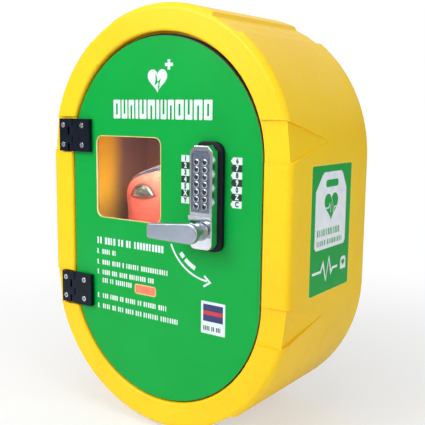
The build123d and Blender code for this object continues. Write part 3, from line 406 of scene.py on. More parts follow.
def webbing(name="case_webbing", rgb=(32, 36, 48)):
    m = Mat(name)
    ribs = weave_height(m, 0.0022)
    base = lin(*rgb)
    # the colour follows the weave height: painted shade in the hollows of the weave, painted light on its ridges
    m.set("Base Color", m.mix(m.map(ribs, -1, 1), tuple(c * 0.6 for c in base), tuple(c * 1.5 for c in base)))
    m.set("Roughness", 0.62)
    m.set("Sheen Weight", 0.2)
    m.bump(ribs, 0.5, 0.0006)
    return m.m


def lit(name, rgb, strength):
    m = Mat(name)
    glow = m.mix(m.noise(300, 2), lin(*rgb), tuple(c * 0.9 for c in lin(*rgb)))
    m.set("Base Color", glow)
    m.set("Emission Color", glow)
    m.set("Emission Strength", strength)
    m.set("Roughness", 0.3)
    m.bump(m.voronoi(600), 0.1, 0.0003)
    return m.m


def lock_metal():
    """Bright casting with a sunk, darker satin field round the keys."""
    m = Mat("lock_casting", Metallic=1.0)
    x, y, z = m.xyz()
    box = m.math("MULTIPLY", m.map(m.math("ABSOLUTE", m.math("SUBTRACT", x, 0.089)), 0.01505, 0.01495), m.map(m.math("ABSOLUTE", m.math("SUBTRACT", z, 0.06625)), 0.04130, 0.04120))
    field = m.math("MULTIPLY", box, m.math("MULTIPLY", m.map(y, -0.25335, -0.25325), m.map(y, -0.2490, -0.2500)))
    smear = m.map(m.noise(26, 4, 0.6), 0.35, 0.72, 0.0, 0.5)
    bright = m.mix(smear, lin(218, 221, 226), lin(176, 180, 188))
    satin = m.mix(m.map(m.noise(150, 4, 0.65), 0.3, 0.7), lin(146, 155, 172), lin(112, 120, 138))
    m.set("Base Color", m.mix(field, bright, satin))
    grain = m.noise(60, 4, 0.7, m.scaled((30, 30, 2)))
    rough = m.map(grain, 0.3, 0.7, 0.07, 0.17)
    m.set("Roughness", m.math("ADD", rough, m.math("MULTIPLY", field, 0.2)))
    m.bump(m.noise(120, 3, 0.5), 0.05, 0.0004)
    return m.m


MATS = {
    "shell_yellow": shell_yellow(),
    "door_green": door_green(),
    "clear_pane": clear("clear_sheet"),
    "foam_gasket": rubber("foam_black", (22, 22, 24), 0.85),
    "chrome_cast": metal("chrome_cast", (216, 219, 224), (0.07, 0.17), wave=0.05),
    "satin_chrome": metal("satin_chrome", (178, 186, 200), (0.24, 0.36), brush=(3, 60, 60), aniso=0.4),
    # the keys are metal; their dark tone is painted shade for the shadows on the key tops
    "key_metal": metal("key_metal", (92, 98, 112), (0.20, 0.34), dark=(38, 42, 54)),
    "black_plastic": plastic("hinge_black", (3, 14, 30), 0.34, 500, 0.08, painted_edge_highlight=(40, 60, 92), spec=0.2),
    "black_rubber": rubber("rubber_black", (4, 14, 24), 0.5),
    "stainless": metal("stainless", (205, 208, 212), (0.16, 0.30)),
    "zinc_steel": metal("zinc_plated", (168, 172, 176), (0.28, 0.46), brush=(20, 20, 2)),
    "white_plastic": plastic("white_plastic", (226, 226, 220), 0.42),
    "grey_plastic": plastic("grey_plastic", (112, 117, 122), 0.5),
    "heater_film": rubber("heater_silicone", (150, 66, 34), 0.6),
    "case_fabric": case_fabric(),
    "webbing": webbing(),
    "aed_shell": plastic("aed_shell_red", (200, 52, 38), 0.48, 380, 0.2),
    "aed_rear": plastic("aed_rear_dark", (52, 55, 62), 0.55, 380, 0.22),
    "signal_green": lit("signal_green", (40, 190, 90), 0.5),
    "signal_orange": plastic("signal_orange", (244, 120, 24), 0.3, 600, 0.05),
}
SLOT_OF = {p["node"]: p["material_slot"] for p in frame["record"]["subparts"]}
OVERRIDE = {"lock_body": lock_metal(), "led_light": lit("led_diffuser", (255, 250, 240), 1.4), "case_window": smoked_film()}
for name, obj in NODES.items():
    slot_name = SLOT_OF.get(name, "zinc_steel")
    # the keys take key_metal, whose dark tone is painted shade
    if name.startswith("key_"):
        slot_name = "key_metal"
    mat = OVERRIDE.get(name) or MATS[slot_name]
    obj.data.materials.clear()
    obj.data.materials.append(mat)
    obj.data.polygons.foreach_set("material_index", [0] * len(obj.data.polygons))


# ------------------------------------------------------------------ mesh helpers
def add_object(name, me, body, mat):
    o = bpy.data.objects.new(name, me)
    bpy.context.scene.collection.objects.link(o)
    me.materials.clear()
    me.materials.append(mat)
    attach(o, body)
    return o


def from_bm(name, bm, body, mat, smooth=None):
    bmesh.ops.recalc_face_normals(bm, faces=bm.faces)
    me = bpy.data.meshes.new(name)
    bm.to_mesh(me)
    bm.free()
    if smooth is not None:
        for p in me.polygons:
            p.use_smooth = True
        if smooth > 0:
            me.set_sharp_from_angle(angle=math.radians(smooth))
    return add_object(name, me, body, mat)


def on_door(x, z, h):
    return Vector((x, -h, z)) * MM


def on_side(y, z, off):
    return Vector((side_r(-y) + off, y, z)) * MM


def slab(bm, loop, a, b, place):
    """Closed thin prism of a flat outline between offsets a and b."""
    lo = [bm.verts.new(place(u, v, a)) for u, v in loop]
    hi = [bm.verts.new(place(u, v, b)) for u, v in loop]
    bm.faces.new(lo)
    bm.faces.new(list(reversed(hi)))
    n = len(loop)
    for i in range(n):
        bm.faces.new((lo[i], hi[i], hi[(i + 1) % n], lo[(i + 1) % n]))


def ring(bm, outer, inner, a, b, place):
    """Closed flat ring between two outlines of equal point count."""
    loops = [[bm.verts.new(place(u, v, h)) for u, v in loop] for loop in (outer, inner) for h in (a, b)]
    oa, ob, ia, ib = loops
    n = len(outer)
    for i in range(n):
        j = (i + 1) % n
        bm.faces.new((oa[i], oa[j], ia[j], ia[i]))
        bm.faces.new((ob[i], ib[i], ib[j], ob[j]))
        bm.faces.new((oa[i], ob[i], ob[j], oa[j]))
        bm.faces.new((ia[i], ia[j], ib[j], ib[i]))


def rounded(x0, z0, x1, z1, r, n=6):
    pts = []
    for cx, cz, a0 in ((x1 - r, z1 - r, 0), (x0 + r, z1 - r, 90), (x0 + r, z0 + r, 180), (x1 - r, z0 + r, 270)):
        for i in range(n + 1):
            a = math.radians(a0 + 90 * i / n)
            pts.append((cx + r * math.cos(a), cz + r * math.sin(a)))
    return pts


def heart(cx, ztop, zbot, w, n=44):
    """Plump heart: two lobes and straight-ish flanks to a point."""
    pts = []
    for i in range(n):
        t = math.tau * i / n
        x = 16 * math.sin(t) ** 3
        z = 13 * math.cos(t) - 5 * math.cos(2 * t) - 2 * math.cos(3 * t) - math.cos(4 * t)
        pts.append((cx + x / 32 * w, zbot + (z + 17.0) / 29.0 * (ztop - zbot)))
    return pts


def sector(cx, cz, r0, r1, a0, a1, n=30):
    outer = [(cx + r1 * math.cos(math.radians(a0 + (a1 - a0) * i / n)), cz + r1 * math.sin(math.radians(a0 + (a1 - a0) * i / n))) for i in range(n + 1)]
    inner = [(cx + r0 * math.cos(math.radians(a0 + (a1 - a0) * i / n)), cz + r0 * math.sin(math.radians(a0 + (a1 - a0) * i / n))) for i in range(n, -1, -1)]
    return outer + inner


def stroke(points, w):
    """Outline of a mitred polyline of width w."""
    left, right = [], []
    for i, p in enumerate(points):
        a = Vector(points[max(i - 1, 0)])
        b = Vector(points[min(i + 1, len(points) - 1)])
        d1 = (Vector(p) - a).normalized() if i else (b - Vector(p)).normalized()
        d2 = (b - Vector(p)).normalized() if i < len(points) - 1 else d1
        n1, n2 = Vector((-d1.y, d1.x)), Vector((-d2.y, d2.x))
        m = (n1 + n2)
        m = m / max(m.length_squared / 2, 0.35)
        left.append(tuple(Vector(p) + m * w / 2))
        right.append(tuple(Vector(p) - m * w / 2))
    return left + right[::-1]


# ------------------------------------------------------------------ door graphics (generic marks, no wording)
F0, F1 = DOOR_H - 0.05, DOOR_H + 0.16
WHITE = film("film_white", (232, 246, 243), (214, 234, 232))
BLACK = film("film_black", (8, 42, 34), (4, 30, 26))
CREAM = film("film_cream", (246, 214, 140))
ORANGE = film("film_orange", (244, 132, 92), (236, 118, 80))
GREEN = door_green("film_green", flat=True)
BLUE = film("film_blue", (38, 44, 110))
RED = film("film_red", (206, 44, 52))

bm = bmesh.new()
# title row: plain upright blocks
widths = [10.6, 8.6, 8.2, 4.0, 10.0, 10.4, 4.0, 8.2, 8.2, 11.4, 9.6, 11.2, 10.8]
widths = [w * 1.27 for w in widths]
gap = (178.0 - sum(widths)) / (len(widths) - 1)
x = -87.6
title_slots = []
for i, w in enumerate(widths):
    slab(bm, rounded(x, 147.6, x + w, 174.8, 1.4, 3), F0, F1, on_door)
    if w > 7:
        up = i % 3
        z0 = (153.0, 154.5, 147.6)[up]
        z1 = (169.5, 174.8, 167.0)[up]
        title_slots.append((x + w / 2 - 1.7, z0, x + w / 2 + 1.7, z1))
    x += w + gap
# heart and plus
slab(bm, heart(-4.2, 217.0, 184.4, 35.0), F0, F1, on_door)
plus = [(-2.2, -7), (2.2, -7), (2.2, -2.2), (7, -2.2), (7, 2.2), (2.2, 2.2), (2.2, 7), (-2.2, 7), (-2.2, 2.2), (-7, 2.2), (-7, -2.2), (-2.2, -2.2)]
slab(bm, [(16.4 + u, 223.0 + v) for u, v in plus], F0, F1, on_door)
# heading and instruction rows: runs of upright ticks in word-like groups
def ticks(bm, x0, x1, z, height, groups, pitch, fill=0.62, place=on_door, h=(F0, F1), lead=None):
    rnd = random.Random(int(abs(z) * 10))
    x = x0
    if lead:
        slab(bm, rounded(x0 - lead, z - height / 2, x0 - lead + pitch * 0.55, z + height / 2, 0.4, 2), *h, place)
        slab(bm, rounded(x0 - lead + pitch * 0.85, z - height / 2, x0 - lead + pitch * 1.05, z - height / 2 + pitch * 0.25, 0.05, 1), *h, place)
    for g in groups:
        for k in range(g):
            if x + pitch > x1 + 0.5:
                return
            kind = rnd.randrange(3)
            w = pitch * fill * (1.0 if kind else 0.72)
            slab(bm, rounded(x, z - height / 2, x + w, z + height / 2, min(0.5, w / 3), 2), *h, place)
            if kind == 1 and w > 1.6:
                pass
            x += pitch
        x += pitch * 0.75
ticks(bm, -123.5, 13.7, -39.4, 10.6, (2, 4, 2, 2, 10), 5.75, 0.70)
ticks(bm, -113.5, -80, -56.6, 7.6, (4, 3), 4.4, lead=10.5)
ticks(bm, -113.5, 20, -73.3, 7.6, (4, 4, 1, 6, 12), 4.35, lead=10.5)
ticks(bm, -113.5, -6, -89.0, 7.6, (4, 3, 4, 8, 3), 4.15, lead=10.5)
ticks(bm, -113.5, -53, -101.9, 7.6, (3, 2, 8), 4.2)
ticks(bm, -113.5, 16, -126.7, 7.6, (3, 4, 2, 5, 2, 6, 4), 4.2, lead=10.5)
ticks(bm, -113.5, 36, -143.2, 7.6, (4, 2, 3, 4, 3, 7, 8), 4.2, lead=10.5)
# turn arrow round the lever
slab(bm, sector(89.4, -0.6, 72.6, 75.4, 202.5, 266.0), F0, F1, on_door)
slab(bm, stroke([(79.7, -67.4), (89.5, -75.8), (78.7, -82.6)], 3.0), F0, F1 + 0.05, on_door)
slab(bm, sector(89, 0, 61.0, 67.5, 218.0, 225.5, 8), F0, F1, on_door)
slab(bm, sector(89, 0, 61.0, 67.5, 228.5, 247.0, 14), F0, F1, on_door)
# white tiles of the key legends and the white sticker
rows_z = [99.2 - 9.66 * i for i in range(7)]
for i, zt in enumerate(rows_z):
    if i % 2 == 0:
        slab(bm, rounded(39.0, zt - 9.55, 52.8, zt - 0.1, 0.4, 2), F0, F1, on_door)
        slab(bm, [(121.4, zt - 4.6), (124.8, zt - 9.2), (139.0, zt - 9.2), (139.0, zt + 0.3), (124.8, zt + 0.3)], F0, F1, on_door)
slab(bm, rounded(75.0, -149.5, 115.5, -103.0, 1.2, 3), F0, F1, on_door)
from_bm("door_film_white", bm, "door", WHITE)

bm = bmesh.new()
for i, zt in enumerate(rows_z):
    if i % 2 == 1:
        slab(bm, rounded(39.0, zt - 9.55, 52.8, zt - 0.1, 0.4, 2), F0, F1, on_door)
        slab(bm, [(121.4, zt - 4.6), (124.8, zt - 9.2), (139.0, zt - 9.2), (139.0, zt + 0.3), (124.8, zt + 0.3)], F0, F1, on_door)
ticks(bm, 79.0, 113, -141.5, 6.6, (4, 2, 3, 2), 2.9, 0.6, h=(F1 - 0.02, F1 + 0.1))
from_bm("door_film_black", bm, "door", BLACK)

# overlays: slots of the title blocks, bolt in the heart
bm = bmesh.new()
for x0, z0, x1, z1 in title_slots:
    slab(bm, rounded(x0, z0, x1, z1, 0.6, 2), F1 - 0.02, F1 + 0.06, on_door)
slab(bm, [(-7.6, 213.5), (-4.9, 206.5), (-4.1, 199.6), (1.9, 203.8), (-0.8, 194.0), (0.4, 194.4), (-2.2, 187.8), (-3.6, 194.0), (-2.4, 193.8),
          (-2.2, 199.2), (-8.8, 194.8), (-7.4, 203.0)], F1 - 0.02, F1 + 0.06, on_door)
from_bm("door_film_overlay", bm, "door", GREEN)

bm = bmesh.new()
slab(bm, rounded(-46.6, -111.2, -8.4, -98.8, 2.6, 4), F0, F1, on_door)
from_bm("location_plate", bm, "door", ORANGE)
bm = bmesh.new()
ring(bm, rounded(-47.9, -112.5, -7.1, -97.5, 3.8, 5), rounded(-46.6, -111.2, -8.4, -98.8, 2.6, 5), F0, F1 + 0.04, on_door)
wlo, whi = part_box("window_gasket")
wx, wz = (wlo.x + whi.x) / 2 / MM, (wlo.z + whi.z) / 2 / MM
ring(bm, rounded(wx - 63.0, wz - 62.5, wx + 63.0, wz + 62.5, 12.0, 8), rounded(wx - 61.9, wz - 61.4, wx + 61.9, wz + 61.4, 10.9, 8), DOOR_H - 0.6, DOOR_H + 0.22, on_door)
from_bm("door_edge_lines", bm, "door", CREAM)

bm = bmesh.new()
slab(bm, rounded(78.5, -131.5, 112.0, -107.0, 0.6, 2), F1 - 0.02, F1 + 0.06, on_door)
from_bm("sticker_panel", bm, "door", BLUE)
bm = bmesh.new()
slab(bm, rounded(78.5, -122.2, 112.0, -116.4, 0.1, 1), F1 + 0.04, F1 + 0.12, on_door)
from_bm("sticker_stripe", bm, "door", RED)

# numerals and letters of the keypad legend
def legends(name, items, mat):
    bm = bmesh.new()
    for ch, x, z in items:
        c = bpy.data.curves.new("legend_curve", "FONT")
        c.body, c.size, c.align_x, c.align_y = ch, 9.8 * MM, "CENTER", "CENTER"
        c.extrude, c.offset, c.resolution_u = 0.00005, 0.00046, 2
        o = bpy.data.objects.new("legend_tmp", c)
        bpy.context.scene.collection.objects.link(o)
        me = bpy.data.meshes.new_from_object(o.evaluated_get(bpy.context.evaluated_depsgraph_get()))
        me.transform(Matrix.Translation(on_door(x, z, F1 + 0.04)) @ Matrix.Rotation(math.radians(90), 4, "X") @ Matrix.Diagonal((0.82, 1, 1, 1)))
        bm.from_mesh(me)
        bpy.data.objects.remove(o)
        bpy.data.meshes.remove(me)
        bpy.data.curves.remove(c)
    return from_bm(name, bm, "door", mat)


left, right = "12345XY", "67890ZC"
legends("legend_dark", [(left[i], 46.0, rows_z[i] - 4.85) for i in (0, 2, 4, 6)] + [(right[i], 131.4, rows_z[i] - 4.45) for i in (0, 2, 4, 6)], BLACK)
legends("legend_light", [(left[i], 46.0, rows_z[i] - 4.85) for i in (1, 3, 5)] + [(right[i], 131.4, rows_z[i] - 4.45) for i in (1, 3, 5)], WHITE)

# ------------------------------------------------------------------ side sticker
S = (-0.03, 0.16)
bm = bmesh.new()
slab(bm, rounded(-178.4, -88.6, -57.6, 89.0, 3.2, 4), *S, on_side)
from_bm("side_sticker_base", bm, "cabinet", GREEN)
bm = bmesh.new()
ring(bm, rounded(-179.8, -90.0, -56.2, 90.4, 4.4, 5), rounded(-178.4, -88.6, -57.6, 89.0, 3.2, 5), S[0], S[1] + 0.03, on_side)
from_bm("side_sticker_border", bm, "cabinet", film("film_pale", (244, 226, 84), (236, 214, 60)))
bm = bmesh.new()
T = (S[1] - 0.02, S[1] + 0.06)
# carrying-case outline with a grip slot left open
bag_outer = [(-167.0, -22.0), (-167.0, 54.0), (-148.5, 76.0), (-143.0, 79.4), (-91.0, 79.4), (-86.0, 76.0), (-72.5, 54.0), (-72.0, -22.0), (-76.5, -27.0), (-162.5, -27.0)]
slab(bm, bag_outer, *T, on_side)
slab(bm, stroke([(-171.0, -58.0), (-146.0, -58.0), (-139.0, -47.0), (-130.0, -72.0), (-121.0, -41.0), (-114.0, -64.0), (-109.0, -58.0), (-94.0, -58.0)], 3.6), *T, on_side)
slab(bm, [(-84.0, -65.0), (-84.0, -50.5), (-80.0, -46.5), (-70.5, -46.5), (-66.5, -50.5), (-66.5, -65.0)], *T, on_side)
# painted light: this white is a brighter copy of the door's white film, lifting it out of the shade on the side
from_bm("side_sticker_white", bm, "cabinet", film("film_white_side_painted_light", (246, 250, 255), (232, 238, 248)))
bm = bmesh.new()
U = (T[1] - 0.02, T[1] + 0.05)
slab(bm, rounded(-137.5, 58.5, -99.7, 68.5, 4.0, 5), *U, on_side)
slab(bm, heart(-119.8, 49.5, 11.2, 42.0), *U, on_side)
slab(bm, heart(-75.2, -51.0, -61.0, 10.0), *U, on_side)
for zc, hh, gr in ((-3.6, 9.6, (13,)), (-18.0, 7.4, (5, 9))):
    ticks(bm, -160.0, -79.0, zc, hh, gr, 5.4, 0.55, on_side, U)
from_bm("side_sticker_green", bm, "cabinet", GREEN)
bm = bmesh.new()
V = (U[1] - 0.02, U[1] + 0.05)
slab(bm, stroke([(-142.0, 29.5), (-127.5, 29.5), (-124.5, 35.0), (-121.5, 22.5), (-117.0, 41.5), (-113.0, 20.5), (-110.0, 29.5), (-97.5, 29.5)], 2.0), *V, on_side)
from_bm("side_sticker_pulse", bm, "cabinet", WHITE)

# ------------------------------------------------------------------ lock: bright cups round the keys
bm = bmesh.new()
face_h = h_of(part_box("key_1")[0].y) - 1.2
for name in NODES:
    if name.startswith("key_"):
        lo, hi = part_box(name)
        cx, cz = (lo.x + hi.x) / 2 / MM, (lo.z + hi.z) / 2 / MM
        prof = [(3.20, 0.0), (3.22, 0.75), (3.50, 1.12), (3.95, 1.05), (4.45, 0.50), (4.62, -0.05)]
        n = 28
        rows = [[bm.verts.new(on_door(cx + r * math.cos(math.tau * i / n), cz + r * math.sin(math.tau * i / n), face_h + dh)) for i in range(n)] for r, dh in prof]
        for a in range(len(rows)):
            b = (a + 1) % len(rows)
            for i in range(n):
                j = (i + 1) % n
                bm.faces.new((rows[a][i], rows[a][j], rows[b][j], rows[b][i]))
from_bm("key_cups", bm, "door", MATS["chrome_cast"], smooth=60)


# ------------------------------------------------------------------ soft carry case
def case_loop(inset, step=6.0):
    w = CASE_W - inset
    zb, zs, zp = CASE_ZB + inset, 52.0 - inset, 83.0 - inset
    s = zp - zs
    R = (w * w + s * s) / (2 * s)
    zc = zp - R
    rt, rb = max(46.0 - inset, 6.0), max(25.0 - inset, 6.0)
    cx = w - rt
    cz = zc + math.sqrt((R - rt) ** 2 - cx ** 2)
    tx, tz = cx * R / (R - rt), zc + (cz - zc) * R / (R - rt)
    pts = []

    def arc(px, pz, r, a0, a1):
        n = max(2, int(abs(math.radians(a1 - a0)) * r / step))
        for i in range(n):
            a = math.radians(a0 + (a1 - a0) * i / n)
            pts.append((px + r * math.cos(a), pz + r * math.sin(a)))

    def seg(p, q):
        n = max(2, int(math.dist(p, q) / step))
        for i in range(n):
            pts.append((p[0] + (q[0] - p[0]) * i / n, p[1] + (q[1] - p[1]) * i / n))

    ang = math.degrees(math.atan2(tz - zc, tx))
    seg((w, zb + rb), (w, cz))
    arc(cx, cz, rt, 0, math.degrees(math.atan2(tz - cz, tx - cx)))
    arc(0, zc, R, ang, 180 - ang)
    arc(-cx, cz, rt, 180 - math.degrees(math.atan2(tz - cz, tx - cx)), 180)
    seg((-w, cz), (-w, zb + rb))
    arc(-w + rb, zb + rb, rb, 180, 270)
    seg((-w + rb, zb), (w - rb, zb))
    arc(w - rb, zb + rb, rb, 270, 360)
    return pts


def resample(pts, n):
    d = [0.0]
    for i in range(len(pts)):
        d.append(d[-1] + math.dist(pts[i], pts[(i + 1) % len(pts)]))
    out, k = [], 0
    for i in range(n):
        t = d[-1] * i / n
        while d[k + 1] < t:
            k += 1
        f = (t - d[k]) / (d[k + 1] - d[k])
        a, b = pts[k % len(pts)], pts[(k + 1) % len(pts)]
        out.append((a[0] + (b[0] - a[0]) * f, a[1] + (b[1] - a[1]) * f))
    return out


def loft(name, rings):
    """Closed solid from (inset, h) rings, capped with fans at both ends."""
    n = 150
    bm = bmesh.new()
    loops = [[bm.verts.new(on_door(x, z, h)) for x, z in resample(case_loop(i), n)] for i, h in rings]
    for a, b in zip(loops, loops[1:]):
        for i in range(n):
            bm.faces.new((a[i], a[(i + 1) % n], b[(i + 1) % n], b[i]))
    for loop, (inset, h) in ((loops[0], rings[0]), (loops[-1], rings[-1])):
        c = bm.verts.new(on_door(0, -35, h))
        for i in range(n):
            bm.faces.new((c, loop[i], loop[(i + 1) % n]))
    bmesh.ops.recalc_face_normals(bm, faces=bm.faces)
    me = bpy.data.meshes.new(name)
    bm.to_mesh(me)
    bm.free()
    o = bpy.data.objects.new(name, me)
    bpy.context.scene.collection.objects.link(o)
    return o


def apply_mod(o, kind, **props):
    md = o.modifiers.new(kind.lower(), kind)
    for k, v in props.items():
        setattr(md, k, v)
    me = bpy.data.meshes.new_from_object(o.evaluated_get(bpy.context.evaluated_depsgraph_get()))
    o.modifiers.remove(md)
    old = o.data
    o.data = me
    bpy.data.meshes.remove(old)


def inflate(o, pressure, cap, frames=20):
    """Blows the pad up with cloth pressure, gravity off, and caps how far a point may move."""
    rest = [v.co.copy() for v in o.data.vertices]
    md = o.modifiers.new("cloth", "CLOTH")
    st = md.settings
    st.quality = 5
    st.mass = 0.3
    st.tension_stiffness = st.compression_stiffness = 25
    st.shear_stiffness = 8
    st.bending_stiffness = 4
    st.use_pressure = True
    st.uniform_pressure_force = pressure
    st.effector_weights.gravity = 0
    md.point_cache.frame_start, md.point_cache.frame_end = 1, frames
    sc = bpy.context.scene
    for f in range(1, frames + 1):
        sc.frame_set(f)
    moved = o.evaluated_get(bpy.context.evaluated_depsgraph_get()).data
    co = [v.co.copy() for v in moved.vertices]
    o.modifiers.remove(md)
    sc.frame_set(1)
    for v, a, b in zip(o.data.vertices, rest, co):
        d = b - a
        if d.length > cap:
            d *= cap / d.length
        v.co = a + d
    o.data.update()


prof = []
for i in range(7):
    a = math.radians(90 * i / 6)
    prof.append((0.8 + 12 * (1 - math.sin(a)), CASE_H0 + 3.2 + 9 * (1 - math.cos(a))))
for i in range(9):
    prof.append((0.8, CASE_H0 + 15 + (CASE_H1 - CASE_H0 - 29) * i / 8))
for i in range(1, 8):
    a = math.radians(90 * i / 7)
    prof.append((0.8 + 10.5 * (1 - math.cos(a)), CASE_H1 - 14 + 10.8 * math.sin(a)))
case = loft("soft_case", prof)
apply_mod(case, "REMESH", mode="VOXEL", voxel_size=0.0046, adaptivity=0.0)
inflate(case, 4.0, 0.0036)
# settle: keep it inside the space the solid holds
for v in case.data.vertices:
    c = v.co
    c.y = max(min(c.y, -CASE_H0 * MM), -(CASE_H1 + 0.6) * MM)
    c.z = max(c.z, CASE_ZB * MM)
    c.x = max(min(c.x, CASE_W * MM), -CASE_W * MM)
# soft creases rippling across the front pad
for v in case.data.vertices:
    c = v.co
    if c.y < -(CASE_H1 - 9) * MM:
        k = math.sin(c.x * 61 + c.z * 23) * math.sin(c.z * 47 - c.x * 17)
        c.y += 0.0005 * k
apply_mod(case, "SUBSURF", levels=1, render_levels=1)
for p in case.data.polygons:
    p.use_smooth = True
tree = BVHTree.FromObject(case, bpy.context.evaluated_depsgraph_get())


def cutter(name, loop, h0, h1):
    bm = bmesh.new()
    slab(bm, loop, h0, h1, on_door)
    bmesh.ops.recalc_face_normals(bm, faces=bm.faces)
    me = bpy.data.meshes.new(name)
    bm.to_mesh(me)
    bm.free()
    o = bpy.data.objects.new(name, me)
    bpy.context.scene.collection.objects.link(o)
    return o


def half_moon(grow=0.0, n=22):
    """View port outline: high arch above, nearly straight below, a little out of level."""
    tilt = math.radians(4.6)

    def arc(top, w, hgt):
        R = (w * w + hgt * hgt) / (2 * hgt)
        a0 = math.asin(w / R)
        out = []
        for i in range(n):
            a = a0 * (1 - 2 * i / n)
            u, v = top * R * math.sin(a), top * (R * math.cos(a) - R + hgt)
            out.append((-77.5 + u * math.cos(tilt) - v * math.sin(tilt), 27.8 + u * math.sin(tilt) + v * math.cos(tilt)))
        return out
    return arc(1, 21.4 + grow * 1.3, 17.0 + grow) + arc(-1, 21.4 + grow * 1.3, 2.2 + grow)


hollow = loft("case_hollow", [(7.0, CASE_H0 + 6), (5.6, CASE_H0 + 7), (5.6, CASE_H1 - 6.4), (7.0, CASE_H1 - 5.4)])
moon = cutter("case_moon", half_moon(), CASE_H1 - 12, CASE_H1 + 8)
for tool in (hollow, moon):
    apply_mod(case, "BOOLEAN", operation="DIFFERENCE", object=tool, solver="EXACT")
    bpy.data.objects.remove(tool)
case.name = "soft_case_body"
case.data.materials.clear()
case.data.materials.append(MATS["case_fabric"])
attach(case, "defibrillator")
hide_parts("carry_case")


def tube(name, pts, r, body, mat, closed=True, seg=8):
    """Round tube along points, with parallel-transported frames."""
    bm = bmesh.new()
    n = len(pts)
    rings = []
    up = None
    for i, p in enumerate(pts):
        a = pts[(i - 1) % n] if closed or i else pts[i]
        b = pts[(i + 1) % n] if closed or i < n - 1 else pts[i]
        t = (b - a).normalized()
        if up is None:
            up = t.cross(Vector((0.3, 1, 0.2))).normalized()
        up = (up - t * up.dot(t)).normalized()
        side = t.cross(up)
        rings.append([bm.verts.new(p + (up * math.cos(math.tau * k / seg) + side * math.sin(math.tau * k / seg)) * r) for k in range(seg)])
    last = n if closed else n - 1
    for i in range(last):
        a, b = rings[i], rings[(i + 1) % n]
        best = 0
        if closed and i == n - 1:
            best = min(range(seg), key=lambda s: sum((a[k].co - b[(k + s) % seg].co).length for k in range(seg)))
        for k in range(seg):
            bm.faces.new((a[k], a[(k + 1) % seg], b[(k + 1 + best) % seg], b[(k + best) % seg]))
    if not closed:
        bm.faces.new(rings[0])
        bm.faces.new(rings[-1])
    return from_bm(name, bm, body, mat, smooth=0)


def on_case(x, z, h, dirn, back=0.04):
    """Point of the case surface met from outside, aiming along -dirn at a point inside."""
    target = on_door(x, z, h)
    hit = tree.ray_cast(target + dirn * back, -dirn, back + 0.03)
    return hit[0] if hit[0] is not None else target


def case_ring(h, inset, lateral, forward, count=170):
    pts = []
    loop = resample(case_loop(inset), count)
    for i, (x, z) in enumerate(loop):
        a, b = loop[i - 1], loop[(i + 1) % count]
        t = Vector((b[0] - a[0], b[1] - a[1])).normalized()
        n = Vector((t.y, 0, -t.x))
        d = (n * lateral + Vector((0, -1, 0)) * forward).normalized()
        pts.append((on_case(x, z, h, d), d))
    return pts


navy_pipe = webbing("piping_navy", (40, 46, 64))
for nm, h, fw, mt in (("case_piping_front", CASE_H1 - 10, 0.75, navy_pipe), ("case_piping_rear", CASE_H0 + 9, -0.75, navy_pipe)):
    pts = [p - d * 0.0006 for p, d in case_ring(h, 12, 1.0, fw)]
    pts = [(pts[i - 1] + pts[i] * 2 + pts[(i + 1) % len(pts)]) / 4 for i in range(len(pts))]
    # the front cord runs over the top only and ends in the shoulder seams
    whole = nm.endswith("rear")
    if not whole:
        pts = [p for p in pts if p.z > 0.048]
    tube(nm, pts, 0.0019, "defibrillator", mt, closed=whole)

# zip round the sides and the top: two tapes and a row of teeth
zip_pts = case_ring(112.0, 12, 1.0, 0.0, 420)
zip_pts = [(p, d) for p, d in zip_pts if p.z > (CASE_ZB + 30) * MM]
start = next(i for i in range(len(zip_pts)) if (zip_pts[i][0] - zip_pts[i - 1][0]).length > 0.02)
zip_pts = zip_pts[start:] + zip_pts[:start]
bm = bmesh.new()
rows = []
for p, d in zip_pts:
    rows.append([bm.verts.new(p + d * o + Vector((0, w, 0))) for w, o in ((-0.011, -0.0004), (-0.0105, 0.0008), (0.0105, 0.0008), (0.011, -0.0004))])
for a, b in zip(rows, rows[1:]):
    for k in range(4):
        bm.faces.new((a[k], a[(k + 1) % 4], b[(k + 1) % 4], b[k]))
bm.faces.new(rows[0])
bm.faces.new(rows[-1])
from_bm("case_zip_tape", bm, "defibrillator", webbing("zip_tape", (22, 25, 34)), smooth=40)
bm = bmesh.new()
for i, (p, d) in enumerate(zip_pts[2:-2]):
    for half in ((0,) if i % 2 else (1,)):
        t = (zip_pts[min(i + 3, len(zip_pts) - 1)][0] - zip_pts[i + 1][0]).normalized()
        y = Vector((0, 1, 0)) * (0.0007 if half else -0.0007)
        c = p + d * 0.0013 + y
        box = [c + t * a + d * b + Vector((0, 1, 0)) * e for a in (-0.0009, 0.0009) for b in (-0.0006, 0.0007) for e in (-0.0017, 0.0017)]
        vs = [bm.verts.new(q) for q in box]
        for f in ((0, 1, 3, 2), (4, 6, 7, 5), (0, 4, 5, 1), (2, 3, 7, 6), (0, 2, 6, 4), (1, 5, 7, 3)):
            bm.faces.new([vs[k] for k in f])
from_bm("case_zip_teeth", bm, "defibrillator", plastic("zip_teeth", (20, 21, 24), 0.35))
# puller hanging from the zip on the left side
p, d = zip_pts[int(len(zip_pts) * 0.86)]
bm = bmesh.new()
bmesh.ops.create_cube(bm, size=1)
bmesh.ops.scale(bm, vec=(0.0030, 0.0075, 0.0110), verts=bm.verts)
bmesh.ops.bevel(bm, geom=bm.edges[:], offset=0.0009, segments=2, affect="EDGES")
bmesh.ops.translate(bm, vec=p + d * 0.0022, verts=bm.verts)
low = bm.verts[:]
res = bmesh.ops.create_cube(bm, size=1)
bmesh.ops.scale(bm, vec=(0.0014, 0.0060, 0.0260), verts=res["verts"])
bmesh.ops.translate(bm, vec=p + d * 0.0030 + Vector((0, 0, -0.0185)), verts=res["verts"])
from_bm("case_zip_puller", bm, "defibrillator", MATS["stainless"])

